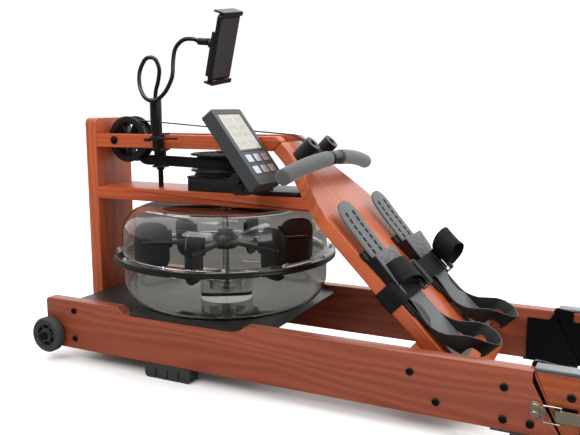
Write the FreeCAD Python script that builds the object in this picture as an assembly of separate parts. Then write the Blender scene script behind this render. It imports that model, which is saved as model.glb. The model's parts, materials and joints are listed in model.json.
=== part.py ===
import FreeCAD, Part
import math
import os

V = FreeCAD.Vector

# ---- driving dimensions, millimetres ------------------------------------------------
# X runs from the fronts of the rails towards the seat end, Z is up from the floor.
FOOT = 30.5                 # height of the rubber feet
RAIL_H = 112.0              # height of a side rail
RAIL_T = 27.0               # thickness of a side rail
RAIL_OUT = 203.5            # from the centre plane to a rail's outer face
RAIL_IN = RAIL_OUT - RAIL_T
RAIL_TOP = FOOT + RAIL_H
SEAM_X = 1069.0             # where the front and rear rails meet
SEAM_GAP = 1.0
REAR_END = 2110.0           # back end of the rear rails
TRAY_TOP = 131.2            # top of the plate under the tank
TRAY_T = 4.0
TANK_X = 360.0              # tank axis
TANK_R = 232.0              # outer radius of the tank wall
RIM_R = 250.0               # outer radius of the tank rim
RIM_Z = 244.0               # height of the joint between the two shells
SHELL_T = 4.0
POST_HALF = 64.0            # half width of the front post and the upper frame
TOP_RAIL_Z = (479.5, 510.0)
SHELF_Z = (357.0, 386.0)
BOARD_ANGLE = 45.3          # slope of the foot board
BOARD_START = V(537, 0, 500)
BOARD_LENGTH = 611.0
BOARD_T = 28.0
BOARD_HALF = (66.0, 144.0)  # half width at the top and at the feet
PULLEY = V(100, 0, 496)     # centre of the strap pulley
PULLEY_SEAT = 45.0
PULLEY_R = 54.5
STRAP_W = 24.0
STRAP_T = 1.6
DRUM_R = 62.0
DRUM_Z = (434.0, 465.0)
IDLER = V(190, -10, 0)
IDLER_R = 14.0
HANDLE = V(627, 0, 466)     # centre of the handle at rest
HANDLE_END = V(616, 222, 442)
GRIP_R = 16.0
BAR_R = 11.0
WHEEL = V(18, 219, 60.5)
WHEEL_R = 40.0
HINGE = V(SEAM_X + 0.5, 0, RAIL_TOP + 1.0)
SEAT_X = 1600.0
TRACK_TOP = 150.0
ROLLER_R = 15.0
ROLLER_Y = 190.0
AXLE_SPREAD = 65.0
FOOT_Y = 95.0               # centre of each foot rest
POST_XY = (232.0, -78.0)    # axis of the phone post
X_CENTRE = (WHEEL.x - WHEEL_R + REAR_END) / 2.0

BOLT_R = 7.0                # heads of the furniture bolts
BOLT_H = 3.5
SHANK_R = 4.0


# ---- helpers ----------------------------------------------------------------------
def block(x, y, z):
    """A box from three (low, high) pairs."""
    return Part.makeBox(x[1] - x[0], y[1] - y[0], z[1] - z[0], V(x[0], y[0], z[0]))


def rod(radius, start, end):
    """A round bar between two points."""
    return Part.makeCylinder(radius, (end - start).Length, start, end - start)


def disc(radius, x, y, z):
    """An upright round bar between two heights."""
    return rod(radius, V(x, y, z[0]), V(x, y, z[1]))


def slab_y(points, y):
    """An XZ outline extruded between two Y values."""
    wire = Part.makePolygon([V(px, y[0], pz) for px, pz in points + points[:1]])
    return Part.Face(wire).extrude(V(0, y[1] - y[0], 0))


def slab_z(points, z):
    """An XY outline extruded between two heights."""
    wire = Part.makePolygon([V(px, py, z[0]) for px, py in points + points[:1]])
    return Part.Face(wire).extrude(V(0, 0, z[1] - z[0]))


def turned(points, x=0.0, y=0.0):
    """A solid of revolution about the upright axis at x, y from (radius, z) points."""
    wire = Part.makePolygon([V(x + r, y, z) for r, z in points + points[:1]])
    return Part.Face(wire).revolve(V(x, y, 0), V(0, 0, 1), 360)


def turned_y(points, centre):
    """A solid of revolution about a Y axis through centre from (radius, y) points."""
    wire = Part.makePolygon([centre + V(r, py, 0) for r, py in points + points[:1]])
    return Part.Face(wire).revolve(centre, V(0, 1, 0), 360)


def mirrored(shape):
    """The same piece on the other side of the centre plane."""
    return shape.mirror(V(0, 0, 0), V(0, 1, 0))


def both(shape):
    """The piece and its mirror image."""
    return [shape, mirrored(shape)]


def on_board(shape):
    """Places a piece that is drawn flat, with X down the board and Z out of it."""
    placed = shape.copy()
    placed.rotate(V(0, 0, 0), V(0, 1, 0), BOARD_ANGLE)
    placed.translate(BOARD_START)
    return placed


def rounded(shape, radius, direction, where=None):
    """Fillets the straight edges along one direction that pass the test."""
    edges = []
    for edge in shape.Edges:
        if len(edge.Vertexes) < 2:
            continue
        along = edge.tangentAt(edge.FirstParameter)
        straight = abs(abs(along.dot(direction)) - 1.0) < 1e-4
        if straight and (where is None or where(edge.CenterOfMass)):
            edges.append(edge)
    return shape.makeFillet(radius, edges)


def save(name, pieces):
    """Writes one node, moved so that the model's origin is under its middle."""
    shape = Part.makeCompound(pieces) if len(pieces) > 1 else pieces[0].copy()
    shape.translate(V(-X_CENTRE, 0, 0))
    shape.exportStep("parts/" + name + ".step")
    sound = all(solid.isValid() and solid.Volume > 0 for solid in shape.Solids)
    print(name, len(shape.Solids), "solids", "sound" if sound else "BROKEN")


# ---- bolts that cross the rails -------------------------------------------------------
CROSS_BOARD_X = (69.0, 96.0)
SUPPORT_S = (480.0, 600.0)
SUPPORT_N = (-57.0, -BOARD_T)
FRONT_BOLTS = [(82.7, 119.0), (82.7, 55.0), (860.0, 107.0), (908.0, 59.0)]
PLATE_BOLTS = [(1022.5, 107.0), (1022.5, 50.0), (1066.5, 50.0)]
REAR_PLATE_BOLTS = [(1128.0, 107.0), (1150.0, 50.0)]
REAR_BOARDS_X = [(1240.0, 1267.0), (2075.0, 2102.0)]
REAR_BOLTS = [(1253.5, 105.0), (1253.5, 60.0), (2088.5, 105.0), (2088.5, 60.0)]


def bolt(x, z, inner):
    """One button-head bolt on the right side, its shank ending at the inner value."""
    head = rod(BOLT_R, V(x, RAIL_OUT, z), V(x, RAIL_OUT + BOLT_H, z))
    crown = [edge for edge in head.Edges if edge.CenterOfMass.y > RAIL_OUT + BOLT_H - 0.1]
    head = head.makeFillet(2.0, crown)
    socket = rod(2.4, V(x, RAIL_OUT + 1.0, z), V(x, RAIL_OUT + BOLT_H, z))
    shank = rod(SHANK_R, V(x, inner, z), V(x, RAIL_OUT, z))
    return head.fuse(shank).cut(socket)


def drill(shape, spots, inner):
    """Cuts the shank holes of both sides."""
    for x, z in spots:
        hole = rod(SHANK_R + 0.05, V(x, inner, z), V(x, RAIL_OUT + 1, z))
        for tool in both(hole):
            shape = shape.cut(tool)
    return shape


# ---- front frame --------------------------------------------------------------------
def seam(offset):
    """The seam line between the rails from top to bottom, moved along X."""
    line = [(SEAM_X, RAIL_TOP), (SEAM_X, 124.0), (1104.0, 59.0), (1119.4, FOOT)]
    return [(x + offset, z) for x, z in line]


def front_rails():
    nose = 10.0
    outline = [(0, FOOT), (0, RAIL_TOP), (204, RAIL_TOP), (224, TRAY_TOP - TRAY_T),
               (504, TRAY_TOP - TRAY_T), (525, RAIL_TOP)] + seam(0)
    rail = slab_y(outline, (RAIL_IN, RAIL_OUT))
    rail = rounded(rail, nose, V(0, 1, 0), lambda c: c.x < 1)
    rail = drill(rail, FRONT_BOLTS, RAIL_IN - 1)
    rail = drill(rail, PLATE_BOLTS, RAIL_IN - 1)
    axle = rod(5.05, V(WHEEL.x, RAIL_IN - 1, WHEEL.z), V(WHEEL.x, RAIL_OUT + 1, WHEEL.z))
    return both(rail.cut(axle))


def front_post():
    post = block((13.7, 44.7), (-POST_HALF, POST_HALF), (FOOT, 547.0))
    return rounded(post, 14.0, V(1, 0, 0), lambda c: c.z > 500)


def frame_blocks():
    """The cross board, the block between it and the post, and the foot board's cleat."""
    cross = block(CROSS_BOARD_X, (-RAIL_IN, RAIL_IN), (34.0, TRAY_TOP - TRAY_T))
    cross = drill(cross, FRONT_BOLTS[:2], 140.0)
    spacer = block((44.7, CROSS_BOARD_X[0]), (-40, 40), (40.0, TRAY_TOP - TRAY_T - 6))
    cleat = on_board(block(SUPPORT_S, (-RAIL_IN, RAIL_IN), SUPPORT_N))
    cleat = cleat.common(block((0, 1000), (-RAIL_IN, RAIL_IN), (FOOT, 400)))
    cleat = drill(cleat, FRONT_BOLTS[2:], 140.0)
    return [cross, spacer, cleat]


def top_rails():
    end_top = BOARD_START.x - 2.0
    outline = [(44.7, TOP_RAIL_Z[0]), (44.7, TOP_RAIL_Z[1]), (523.0, TOP_RAIL_Z[1]),
               (end_top - 4.0, 504.5), (end_top, 500.0), (end_top - 20.2, TOP_RAIL_Z[0])]
    rail = slab_y(outline, (POST_HALF - RAIL_T, POST_HALF))
    hole = rod(6.1, V(PULLEY.x, 30, PULLEY.z), V(PULLEY.x, 70, PULLEY.z))
    return both(rail.cut(hole))


def shelf_board():
    face = BOARD_START.x - BOARD_T / math.sin(math.radians(BOARD_ANGLE))
    slope = math.tan(math.radians(90 - BOARD_ANGLE))
    ends = [face + (BOARD_START.z - z) * slope for z in SHELF_Z]
    outline = [(44.7, SHELF_Z[0]), (44.7, SHELF_Z[1]), (ends[1] - 0.2, SHELF_Z[1]),
               (ends[0] - 0.2, SHELF_Z[0])]
    board = slab_y(outline, (-POST_HALF - 1, POST_HALF + 1))
    board = board.cut(disc(9.5, TANK_X, 0, (350, 390)))
    return board.cut(disc(6.05, IDLER.x, IDLER.y, (366, 390)))


def foot_board():
    """A flat board that widens by one smooth S-curve from the top to the feet."""
    narrow, wide = BOARD_HALF
    bend = [(35.0, narrow), (100.0, 94.0), (150.0, 124.0), (200.0, wide)]
    curve = Part.BSplineCurve()
    along = V(1, 0.1, 0)
    curve.interpolate(Points=[V(x, half, 0) for x, half in bend], InitialTangent=along,
                      FinalTangent=along)
    right = [Part.makeLine(V(0, narrow, 0), V(35.0, narrow, 0)), curve.toShape(),
             Part.makeLine(V(200.0, wide, 0), V(BOARD_LENGTH, wide, 0))]
    left = [edge.mirror(V(0, 0, 0), V(0, 1, 0)) for edge in right]
    ends = [Part.makeLine(V(0, -narrow, 0), V(0, narrow, 0)),
            Part.makeLine(V(BOARD_LENGTH, -wide, 0), V(BOARD_LENGTH, wide, 0))]
    wire = Part.Wire(Part.__sortEdges__(right + left + ends))
    board = Part.Face(wire).extrude(V(0, 0, -BOARD_T))
    for side in (-1, 1):
        slot = block((362, 412), (side * 14 - 4, side * 14 + 4), (-40, 10))
        board = board.cut(slot)
    board = on_board(board)
    return board.common(block((500, 1000), (-200, 200), (FOOT + 2, 510)))


def front_feet():
    """Fluted rubber blocks under the front rails and plain ones before the seam."""
    pad = block((277, 392), (RAIL_IN - 2, RAIL_OUT + 2), (0, FOOT))
    pad = rounded(pad, 8.0, V(0, 1, 0), lambda c: c.z < 1)
    for slot in (1, 2, 3):
        x = 277 + slot * 28.75
        pad = pad.cut(block((x - 1.5, x + 1.5), (100, 300), (-1, 22)))
    rear = block((1035, 1112), (RAIL_IN - 2, RAIL_OUT + 2), (0, FOOT - 3))
    rear = rear.fuse(block((1002, 1112), (RAIL_IN, RAIL_OUT), (FOOT - 3, FOOT)))
    return both(pad) + both(rear.removeSplitter())


def front_bolts():
    """Rail bolts, hinge plate bolts and the wheel axle bolts."""
    pieces = []
    for x, z in FRONT_BOLTS + PLATE_BOLTS:
        inner = 141.0 if (x, z) in FRONT_BOLTS else RAIL_IN - 7.0
        pieces += both(bolt(x, z, inner))
    axle = rod(5.0, V(WHEEL.x, RAIL_IN - 4, WHEEL.z), V(WHEEL.x, 234, WHEEL.z))
    axle = axle.fuse(rod(9, V(WHEEL.x, 232.5, WHEEL.z), V(WHEEL.x, 236.5, WHEEL.z)))
    axle = axle.fuse(rod(9, V(WHEEL.x, RAIL_IN - 8, WHEEL.z), V(WHEEL.x, RAIL_IN, WHEEL.z)))
    return pieces + both(axle)


def tank_tray():
    inner = RAIL_IN - 0.3
    outline = [(50, 150), (64, inner), (228, inner), (236, RAIL_OUT), (492, RAIL_OUT),
               (500, inner), (556, inner), (566, 150)]
    outline += [(x, -y) for x, y in outline[::-1]]
    return slab_z(outline, (TRAY_TOP - TRAY_T, TRAY_TOP))


# ---- water tank ---------------------------------------------------------------------
def arc_points(cx, cz, radius, start, end, steps=10):
    """Points round an arc of the tank's section."""
    turn = [math.radians(start + (end - start) * i / steps) for i in range(steps + 1)]
    return [(cx + radius * math.cos(a), cz + radius * math.sin(a)) for a in turn]


def tank_lower_shell():
    low = TRAY_TOP + 0.1
    shoulder = 62.0
    outer = arc_points(TANK_R - shoulder, low + shoulder, shoulder, -90, 0)
    inner = arc_points(TANK_R - shoulder, low + shoulder, shoulder - SHELL_T, 0, -90)
    section = [(0, low)] + outer + [(TANK_R, RIM_Z - 7.5), (RIM_R, RIM_Z - 7.5),
                                    (RIM_R, RIM_Z - 3.5), (TANK_R - SHELL_T, RIM_Z - 3.5)]
    section += inner + [(0, low + SHELL_T)]
    shell = turned(section, TANK_X)
    seat = turned([(57, low + 2), (61, low + 2), (61, 188), (33, 188), (33, 184), (57, 184)],
                  TANK_X)
    pivot = turned([(0, low + 2), (20, low + 2), (20, 165), (8.2, 165), (8.2, 150), (0, 150)],
                   TANK_X)
    shell = shell.fuse(seat).fuse(pivot)
    return cut_rim_holes(shell)


def tank_upper_shell():
    high = SHELF_Z[0] - 5.0
    shoulder = 56.0
    outer = arc_points(TANK_R - shoulder, high - shoulder, shoulder, 0, 90)
    inner = arc_points(TANK_R - shoulder, high - shoulder, shoulder - SHELL_T, 90, 0)
    section = [(RIM_R, RIM_Z + 3.5), (RIM_R, RIM_Z + 7.5), (TANK_R, RIM_Z + 7.5)]
    section += outer + [(30, high + 2.0), (30, high + 4.8), (14, high + 4.8), (14, high - 4)]
    section += [(30, high - 4)] + inner + [(TANK_R - SHELL_T, RIM_Z + 3.5)]
    return cut_rim_holes(turned(section, TANK_X))


def rim_spots():
    """Centres of the twelve rim bolts."""
    ring = (TANK_R + RIM_R) / 2.0 + 2.5
    angles = [math.radians(30 * i) for i in range(12)]
    return [(TANK_X + ring * math.cos(a), ring * math.sin(a)) for a in angles]


def cut_rim_holes(shape):
    for x, y in rim_spots():
        shape = shape.cut(disc(2.6, x, y, (RIM_Z - 10, RIM_Z + 10)))
    return shape


def tank_gasket():
    """Rubber seal: a flat ring between the rims with a lip round their edge."""
    section = [(TANK_R - 2, RIM_Z - 3.4), (RIM_R + 0.1, RIM_Z - 3.4), (RIM_R + 0.1, RIM_Z - 6),
               (RIM_R + 3, RIM_Z - 6), (RIM_R + 3, RIM_Z + 6), (RIM_R + 0.1, RIM_Z + 6),
               (RIM_R + 0.1, RIM_Z + 3.4), (TANK_R - 2, RIM_Z + 3.4)]
    return cut_rim_holes(turned(section, TANK_X))


def rim_bolts():
    pieces = []
    for x, y in rim_spots():
        shank = disc(2.5, x, y, (RIM_Z - 9, RIM_Z + 9))
        nut = Part.makeCylinder(4.6, 4.0, V(x, y, RIM_Z + 7.6))
        head = Part.makeCylinder(4.6, 3.4, V(x, y, RIM_Z - 11.0))
        pieces.append(shank.fuse(nut).fuse(head))
    return pieces


def impeller():
    """A hub with six arms that carry upright paddle blades."""
    body = turned([(8.05, 255), (24, 255), (24, 290), (16, 300), (8.05, 300)], TANK_X)
    for i in range(6):
        arm = block((TANK_X + 20, TANK_X + 190), (-8, 8), (264, 274))
        blade = block((TANK_X + 128, TANK_X + 206), (-3, 3), (205, 318))
        blade = rounded(blade, 30.0, V(0, 1, 0))
        vane = arm.fuse(blade)
        vane.rotate(V(TANK_X, 0, 0), V(0, 0, 1), 60 * i - 22)
        body = body.fuse(vane)
    return body


def impeller_shaft():
    return disc(8.0, TANK_X, 0, (150.3, 478.0))


# ---- pull strap and its rollers -------------------------------------------------------
def strap_pulley():
    """A deep flanged wheel with seven flat spokes each side of its rim."""
    half = 17.5
    rim = turned_y([(38, -half), (PULLEY_R, -half), (PULLEY_R, -half + 3),
                    (PULLEY_SEAT, -half + 4), (PULLEY_SEAT, half - 4), (PULLEY_R, half - 3),
                    (PULLEY_R, half), (38, half)], PULLEY)
    hub = turned_y([(6.08, -half), (13, -half), (13, half), (6.08, half)], PULLEY)
    wheel = rim.fuse(hub)
    for i in range(7):
        spoke = block((11, 39.5), (-half + 3, half - 3), (-2, 2))
        spoke.rotate(V(0, 0, 0), V(0, 1, 0), i * 360.0 / 7)
        spoke.translate(PULLEY)
        wheel = wheel.fuse(spoke)
    return wheel


def strap_axles():
    """The pulley's cross axle with its button heads, and the idler's upright rod."""
    axle = rod(6.0, V(PULLEY.x, -POST_HALF, PULLEY.z), V(PULLEY.x, POST_HALF, PULLEY.z))
    for side in (-1, 1):
        end = V(PULLEY.x, side * POST_HALF, PULLEY.z)
        axle = axle.fuse(rod(8.5, end, end + V(0, side * 5, 0)))
        spacer = [V(PULLEY.x, side * y, PULLEY.z) for y in (18.2, POST_HALF - RAIL_T)]
        axle = axle.fuse(rod(9.0, spacer[0], spacer[1]))
    upright = disc(6.0, IDLER.x, IDLER.y, (366.5, 478.0))
    upright = upright.fuse(disc(9.0, IDLER.x, IDLER.y, (474.5, 480.0)))
    upright = upright.fuse(disc(9.0, IDLER.x, IDLER.y, (426.0, 431.5)))
    return [axle, upright]


def idler_roller():
    z = (432.0, 474.0)
    section = [(6.08, z[0]), (20, z[0]), (20, z[0] + 3), (IDLER_R, z[0] + 5),
               (IDLER_R, z[1] - 5), (20, z[1] - 3), (20, z[1]), (6.08, z[1])]
    return turned(section, IDLER.x, IDLER.y)


def strap_drum():
    """The drum that winds the strap, and the smaller bungee disc under it."""
    low, high = DRUM_Z
    drum = turned([(8.08, low - 4), (76, low - 4), (76, low), (DRUM_R, low), (DRUM_R, high),
                   (76, high), (76, high + 4), (20, high + 4), (20, high + 9),
                   (8.08, high + 9)], TANK_X)
    disc_low = turned([(8.08, 421.5), (68, 421.5), (68, 429.8), (8.08, 429.8)], TANK_X)
    return [drum, disc_low]


def drum_housing():
    """Black box on the shelf that holds the return mechanism, with its cover plate."""
    box = block((296, 452), (-58, 58), (SHELF_Z[1], 419.5))
    box = rounded(box, 6.0, V(0, 0, 1))
    box = box.cut(block((300, 448), (-54, 54), (SHELF_Z[1] - 1, 415.5)))
    box = box.cut(disc(12.0, TANK_X, 0, (380, 430)))
    wing = block((452.3, 572), (-58, 58), (SHELF_Z[1], 395.0))
    return [box, wing]


def strap_run(points, y):
    """A flat strap along an XZ line of points, as wide as the strap."""
    half = STRAP_T / 2.0
    upper = []
    lower = []
    for (x0, z0), (x1, z1) in zip(points[:-1], points[1:]):
        length = math.hypot(x1 - x0, z1 - z0)
        nx, nz = -(z1 - z0) / length * half, (x1 - x0) / length * half
        upper += [(x0 + nx, z0 + nz), (x1 + nx, z1 + nz)]
        lower += [(x0 - nx, z0 - nz), (x1 - nx, z1 - nz)]
    return slab_y(upper + lower[::-1], y)


EDGE_POINT = (535.0, 512.0)
TWIST_X = (130.0, 168.0)    # where the lower run turns from flat to upright


def pull_strap():
    """Upper run, half turn round the pulley, lower run past the idler, and the drum turn."""
    seat = PULLEY_SEAT + 0.3
    mid = seat + STRAP_T / 2.0
    wide = (-STRAP_W / 2.0, STRAP_W / 2.0)
    upper = strap_run([(PULLEY.x, PULLEY.z + mid), EDGE_POINT], wide)
    ring = turned_y([(seat, wide[0]), (seat + STRAP_T, wide[0]), (seat + STRAP_T, wide[1]),
                     (seat, wide[1])], PULLEY)
    ring = ring.common(block((0, PULLEY.x), (-60, 60), (400, 600)))
    low = PULLEY.z - mid
    lower = strap_run([(PULLEY.x, low), (TWIST_X[0], low)], wide)
    flat = Part.makePolygon([V(TWIST_X[0], y, low + dz) for y, dz in
                             ((wide[0], -0.8), (wide[1], -0.8), (wide[1], 0.8), (wide[0], 0.8),
                              (wide[0], -0.8))])
    side = IDLER.y - IDLER_R - 0.3 - STRAP_T / 2.0
    z = sum(DRUM_Z) / 2.0
    tall = Part.makePolygon([V(TWIST_X[1], side + dy, z + dz) for dy, dz in
                             ((0.8, -12), (0.8, 12), (-0.8, 12), (-0.8, -12), (0.8, -12))])
    twist = Part.makeLoft([flat, tall], True, True)
    reach = DRUM_R + 0.3 + STRAP_T / 2.0
    gap = V(TANK_X, 0, 0) - V(IDLER.x, side, 0)
    tilt = math.atan2(gap.y, gap.x) - math.asin(reach / gap.Length)
    touch = V(TANK_X + reach * math.sin(tilt), -reach * math.cos(tilt), 0)
    line = [(TWIST_X[1], side), (IDLER.x, side), (touch.x, touch.y)]
    outline = offset_line(line, STRAP_T / 2.0) + offset_line(line, -STRAP_T / 2.0)[::-1]
    run = slab_z(outline, (z - 12, z + 12))
    turn = turned([(reach - 0.8, z - 12), (reach + 0.8, z - 12), (reach + 0.8, z + 12),
                   (reach - 0.8, z + 12)], TANK_X)
    turn = turn.common(block((touch.x, TANK_X + 100), (-100, 100), (400, 500)))
    return [upper, ring, lower, twist, run, turn]


def handle_strap():
    """The stretch of strap between the edge of the board and the handle."""
    inner = (EDGE_POINT[0] + 0.9, EDGE_POINT[1] - 0.1)
    outer = (HANDLE.x - BAR_R - 6.9, HANDLE.z + 5.0)
    return strap_run([inner, outer], (-STRAP_W / 2.0, STRAP_W / 2.0))


# ---- handle -------------------------------------------------------------------------
def handle_arc():
    """The bar's centre line: one long arc through the middle and both ends."""
    left = V(HANDLE_END.x, -HANDLE_END.y, HANDLE_END.z)
    return Part.Arc(left, HANDLE, HANDLE_END)


def along_handle(radius, share, hollow=None):
    """A round piece swept along part of the bar's arc, between two shares of it."""
    arc = handle_arc()
    span = arc.LastParameter - arc.FirstParameter
    marks = [share[0], sum(share) / 2.0, share[1]]
    stops = [arc.value(arc.FirstParameter + span * mark) for mark in marks]
    edge = Part.Arc(*stops).toShape()
    path = Part.Wire([edge])
    base = edge.valueAt(edge.FirstParameter)
    normal = edge.tangentAt(edge.FirstParameter)
    shape = Part.Wire([Part.makeCircle(radius, base, normal)])
    solid = path.makePipeShell([shape], True, False)
    if hollow:
        core = Part.Wire([Part.makeCircle(hollow, base, normal)])
        solid = solid.cut(path.makePipeShell([core], True, False))
    return solid


def handle_bar():
    bar = along_handle(BAR_R, (0.02, 0.98))
    band = along_handle(BAR_R + 3.5, (0.455, 0.545))
    lug = block((HANDLE.x - BAR_R - 6, HANDLE.x), (-14, 14), (HANDLE.z - 2, HANDLE.z + 9))
    return bar.fuse(band).fuse(lug)


def hand_grips():
    near = along_handle(GRIP_R, (0.0, 0.44), BAR_R + 0.05)
    far = along_handle(GRIP_R, (0.56, 1.0), BAR_R + 0.05)
    return [near, far]


def handle_rests():
    """Two round stop blocks that stand square on the foot board."""
    rest = disc(17.0, 47.0, 48.0, (0.0, 45.0))
    rest = rest.cut(disc(7.0, 47.0, 48.0, (20.0, 50.0)))
    return both(on_board(rest))


# ---- foot rests -----------------------------------------------------------------------
def foot_bases():
    """Long flat bases on the board; the heel pieces slide in them."""
    base = block((296, 470), (FOOT_Y - 40, FOOT_Y + 40), (0.0, 9.0))
    return both(on_board(base))


def heel_cup():
    """The sliding sole: holed strip, toe plate, sole and open heel scoop, as one moulding."""
    strip = slab_y([(184, 34), (200, 27), (330, 15), (330, 10), (198, 22.5), (182, 30)],
                   (FOOT_Y - 36, FOOT_Y + 36))
    for row in (-20, 20):
        for i in range(7):
            s = 216 + 15 * i
            hole = block((s - 4.5, s + 4.5), (FOOT_Y + row - 2.5, FOOT_Y + row + 2.5), (0, 50))
            strip = strip.cut(hole)
    toe = slab_y([(312, 9.6), (312, 28), (380, 19), (440, 14), (470, 13), (470, 9.6)],
                 (FOOT_Y - 46, FOOT_Y + 46))
    sole = block((430, 530), (FOOT_Y - 47, FOOT_Y + 47), (9.6, 13.0))
    round_end = disc(47.0, 530, FOOT_Y, (9.6, 82.0))
    side_walls = block((440, 530), (FOOT_Y - 47, FOOT_Y + 47), (9.6, 82.0))
    cup = round_end.fuse(side_walls)
    hollow = disc(43.5, 530, FOOT_Y, (13.0, 90.0))
    hollow = hollow.fuse(block((430, 530), (FOOT_Y - 43.5, FOOT_Y + 43.5), (13.0, 90.0)))
    cup = cup.cut(hollow)
    above = slab_y([(400, 14), (470, 15), (488, 24), (506, 42), (522, 62), (540, 76),
                    (566, 81), (590, 82), (590, 120), (400, 120)], (0, 250))
    cup = cup.cut(above)
    slot = disc(16.0, 545, FOOT_Y, (0, 30)).fuse(disc(16.0, 515, FOOT_Y, (0, 30)))
    slot = slot.fuse(block((515, 545), (FOOT_Y - 16, FOOT_Y + 16), (0, 30)))
    piece = strip.fuse(toe).fuse(sole).fuse(cup).cut(slot)
    return on_board(piece.removeSplitter())


def foot_straps():
    """Webbing that passes round the board's edge, over the shoe and into the slot."""
    line = [(BOARD_HALF[1] + 1.5, -27), (BOARD_HALF[1] + 1.5, 6), (142, 52), (122, 78),
            (92, 88), (60, 80), (38, 52), (16, 20), (14, -27)]
    half = 1.3
    outer = offset_line(line, half)
    inner = offset_line(line, -half)
    ring = outer + inner[::-1]
    wire = Part.makePolygon([V(364, y, n) for y, n in ring + ring[:1]])
    band = Part.Face(wire).extrude(V(46, 0, 0))
    return both(on_board(band))


def offset_line(line, distance):
    """The line moved sideways by a distance, mitred at its corners."""
    moved = []
    for i, (y, n) in enumerate(line):
        before = line[max(i - 1, 0)]
        after = line[min(i + 1, len(line) - 1)]
        length = math.hypot(after[0] - before[0], after[1] - before[1])
        moved.append((y - (after[1] - before[1]) / length * distance,
                      n + (after[0] - before[0]) / length * distance))
    return moved


# ---- transport wheels -----------------------------------------------------------------
def transport_wheel():
    """A tyre on a spoked hub, with its bearing in the middle."""
    half = 12.0
    tyre = turned_y([(29, -half + 2), (34, -half), (37, -half + 0.5), (WHEEL_R, -half + 5),
                     (WHEEL_R, half - 5), (37, half - 0.5), (34, half), (29, half - 2)], WHEEL)
    rim = turned_y([(24.5, -half + 2.5), (28.98, -half + 2.5), (28.98, half - 2.5),
                    (24.5, half - 2.5)], WHEEL)
    hub = turned_y([(11.05, -half + 1), (15, -half + 1), (15, half - 1), (11.05, half - 1)],
                   WHEEL)
    wheel = rim.fuse(hub)
    for i in range(6):
        spoke = block((13.5, 25.5), (-half + 4, half - 4), (-1.6, 1.6))
        spoke.rotate(V(0, 0, 0), V(0, 1, 0), 60 * i)
        spoke.translate(WHEEL)
        wheel = wheel.fuse(spoke)
    bearing = turned_y([(5.06, -half + 1), (11, -half + 1), (11, half - 1), (5.06, half - 1)],
                       WHEEL)
    return [tyre, wheel, bearing]


# ---- hinge and latches --------------------------------------------------------------
PLATE_T = 4.0
PLATE_OUT = RAIL_IN - 0.1
EAR_R = 8.0


def front_hinge_plates():
    """Steel plates inside the front rails, each with an ear at the hinge axis."""
    line = seam(-0.5)
    outline = [(1008, FOOT), (1008, 123), (1052, 123), (1062, 138), (HINGE.x - 0.6, 138)]
    outline += [(line[1][0], 124), line[2], (line[3][0], FOOT)]
    plate = slab_y(outline, (PLATE_OUT - PLATE_T, PLATE_OUT))
    ear = rod(EAR_R, V(HINGE.x, PLATE_OUT - PLATE_T, HINGE.z), V(HINGE.x, PLATE_OUT, HINGE.z))
    plate = plate.fuse(ear).removeSplitter()
    plate = plate.cut(rod(3.06, V(HINGE.x, 150, HINGE.z), V(HINGE.x, 190, HINGE.z)))
    plate = drill(plate, PLATE_BOLTS, 160)
    return both(plate)


def rear_hinge_plates():
    """Steel plates inside the rear rails, with an ear over the front one, and latch bases."""
    line = seam(1.5)
    outline = [(HINGE.x + 12, 142), line[1], line[2], (line[3][0], FOOT), (1165, FOOT),
               (1165, 123), (1100, 123), (1100, 142)]
    plate = slab_y(outline, (PLATE_OUT - PLATE_T, PLATE_OUT))
    keep_off = rod(EAR_R + 0.5, V(HINGE.x, 160, HINGE.z), V(HINGE.x, 190, HINGE.z))
    plate = plate.cut(keep_off)
    low, high = PLATE_OUT - 2 * PLATE_T - 0.3, PLATE_OUT - PLATE_T - 0.3
    ear = rod(EAR_R, V(HINGE.x, low, HINGE.z), V(HINGE.x, high, HINGE.z))
    web = slab_y([(HINGE.x - 4, HINGE.z - 7), (HINGE.x, HINGE.z + 8), (1100, HINGE.z + 4),
                  (1100, 118), (1082, 118)], (low, high))
    pad = block((1088, 1100), (low, PLATE_OUT - PLATE_T + 0.5), (118, 136))
    plate = plate.fuse(ear).fuse(web).fuse(pad).removeSplitter()
    plate = plate.cut(rod(2.95, V(HINGE.x, 150, HINGE.z), V(HINGE.x, 190, HINGE.z)))
    return both(drill(plate, REAR_PLATE_BOLTS, 160))


def rear_bolts():
    """Bolts of the rear frame and the two hinge pins."""
    pieces = []
    for x, z in REAR_PLATE_BOLTS + REAR_BOLTS:
        inner = 141.0 if (x, z) in REAR_BOLTS else RAIL_IN - 7.0
        pieces += both(bolt(x, z, inner))
    low = PLATE_OUT - 2 * PLATE_T - 0.3
    pin = rod(3.0, V(HINGE.x, low - 1, HINGE.z), V(HINGE.x, PLATE_OUT, HINGE.z))
    pin = pin.fuse(rod(5.0, V(HINGE.x, low - 3, HINGE.z), V(HINGE.x, low, HINGE.z)))
    return pieces + both(pin)


LATCH_Z = (67.0, 86.0)
LATCH_MID = sum(LATCH_Z) / 2.0
LEVER_AXIS = V(1107.0, RAIL_OUT + 5.7, 0)
BAIL_AXIS = V(1114.0, RAIL_OUT + 10.8, 0)
BAIL_END = 1087.0
WIRE_R = 1.3


def latch_keepers():
    """Two-screw keeper plates with a raised hook, on the front rails."""
    y = (RAIL_OUT, RAIL_OUT + 2)
    plate = block((1066, 1080), y, (70, 84))
    for z in (70.0, 84.0):
        plate = plate.fuse(rod(8.0, V(1073, y[0], z), V(1073, y[1], z)))
        plate = plate.fuse(rod(4.5, V(1073, y[1], z), V(1073, y[1] + 2.2, z)))
    neck = block((1078, 1087), y, (69.5, 84.5))
    hook = block((1084, 1090), (RAIL_OUT, RAIL_OUT + 9.0), (69.5, 84.5))
    return both(plate.fuse(neck).fuse(hook).removeSplitter())


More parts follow.
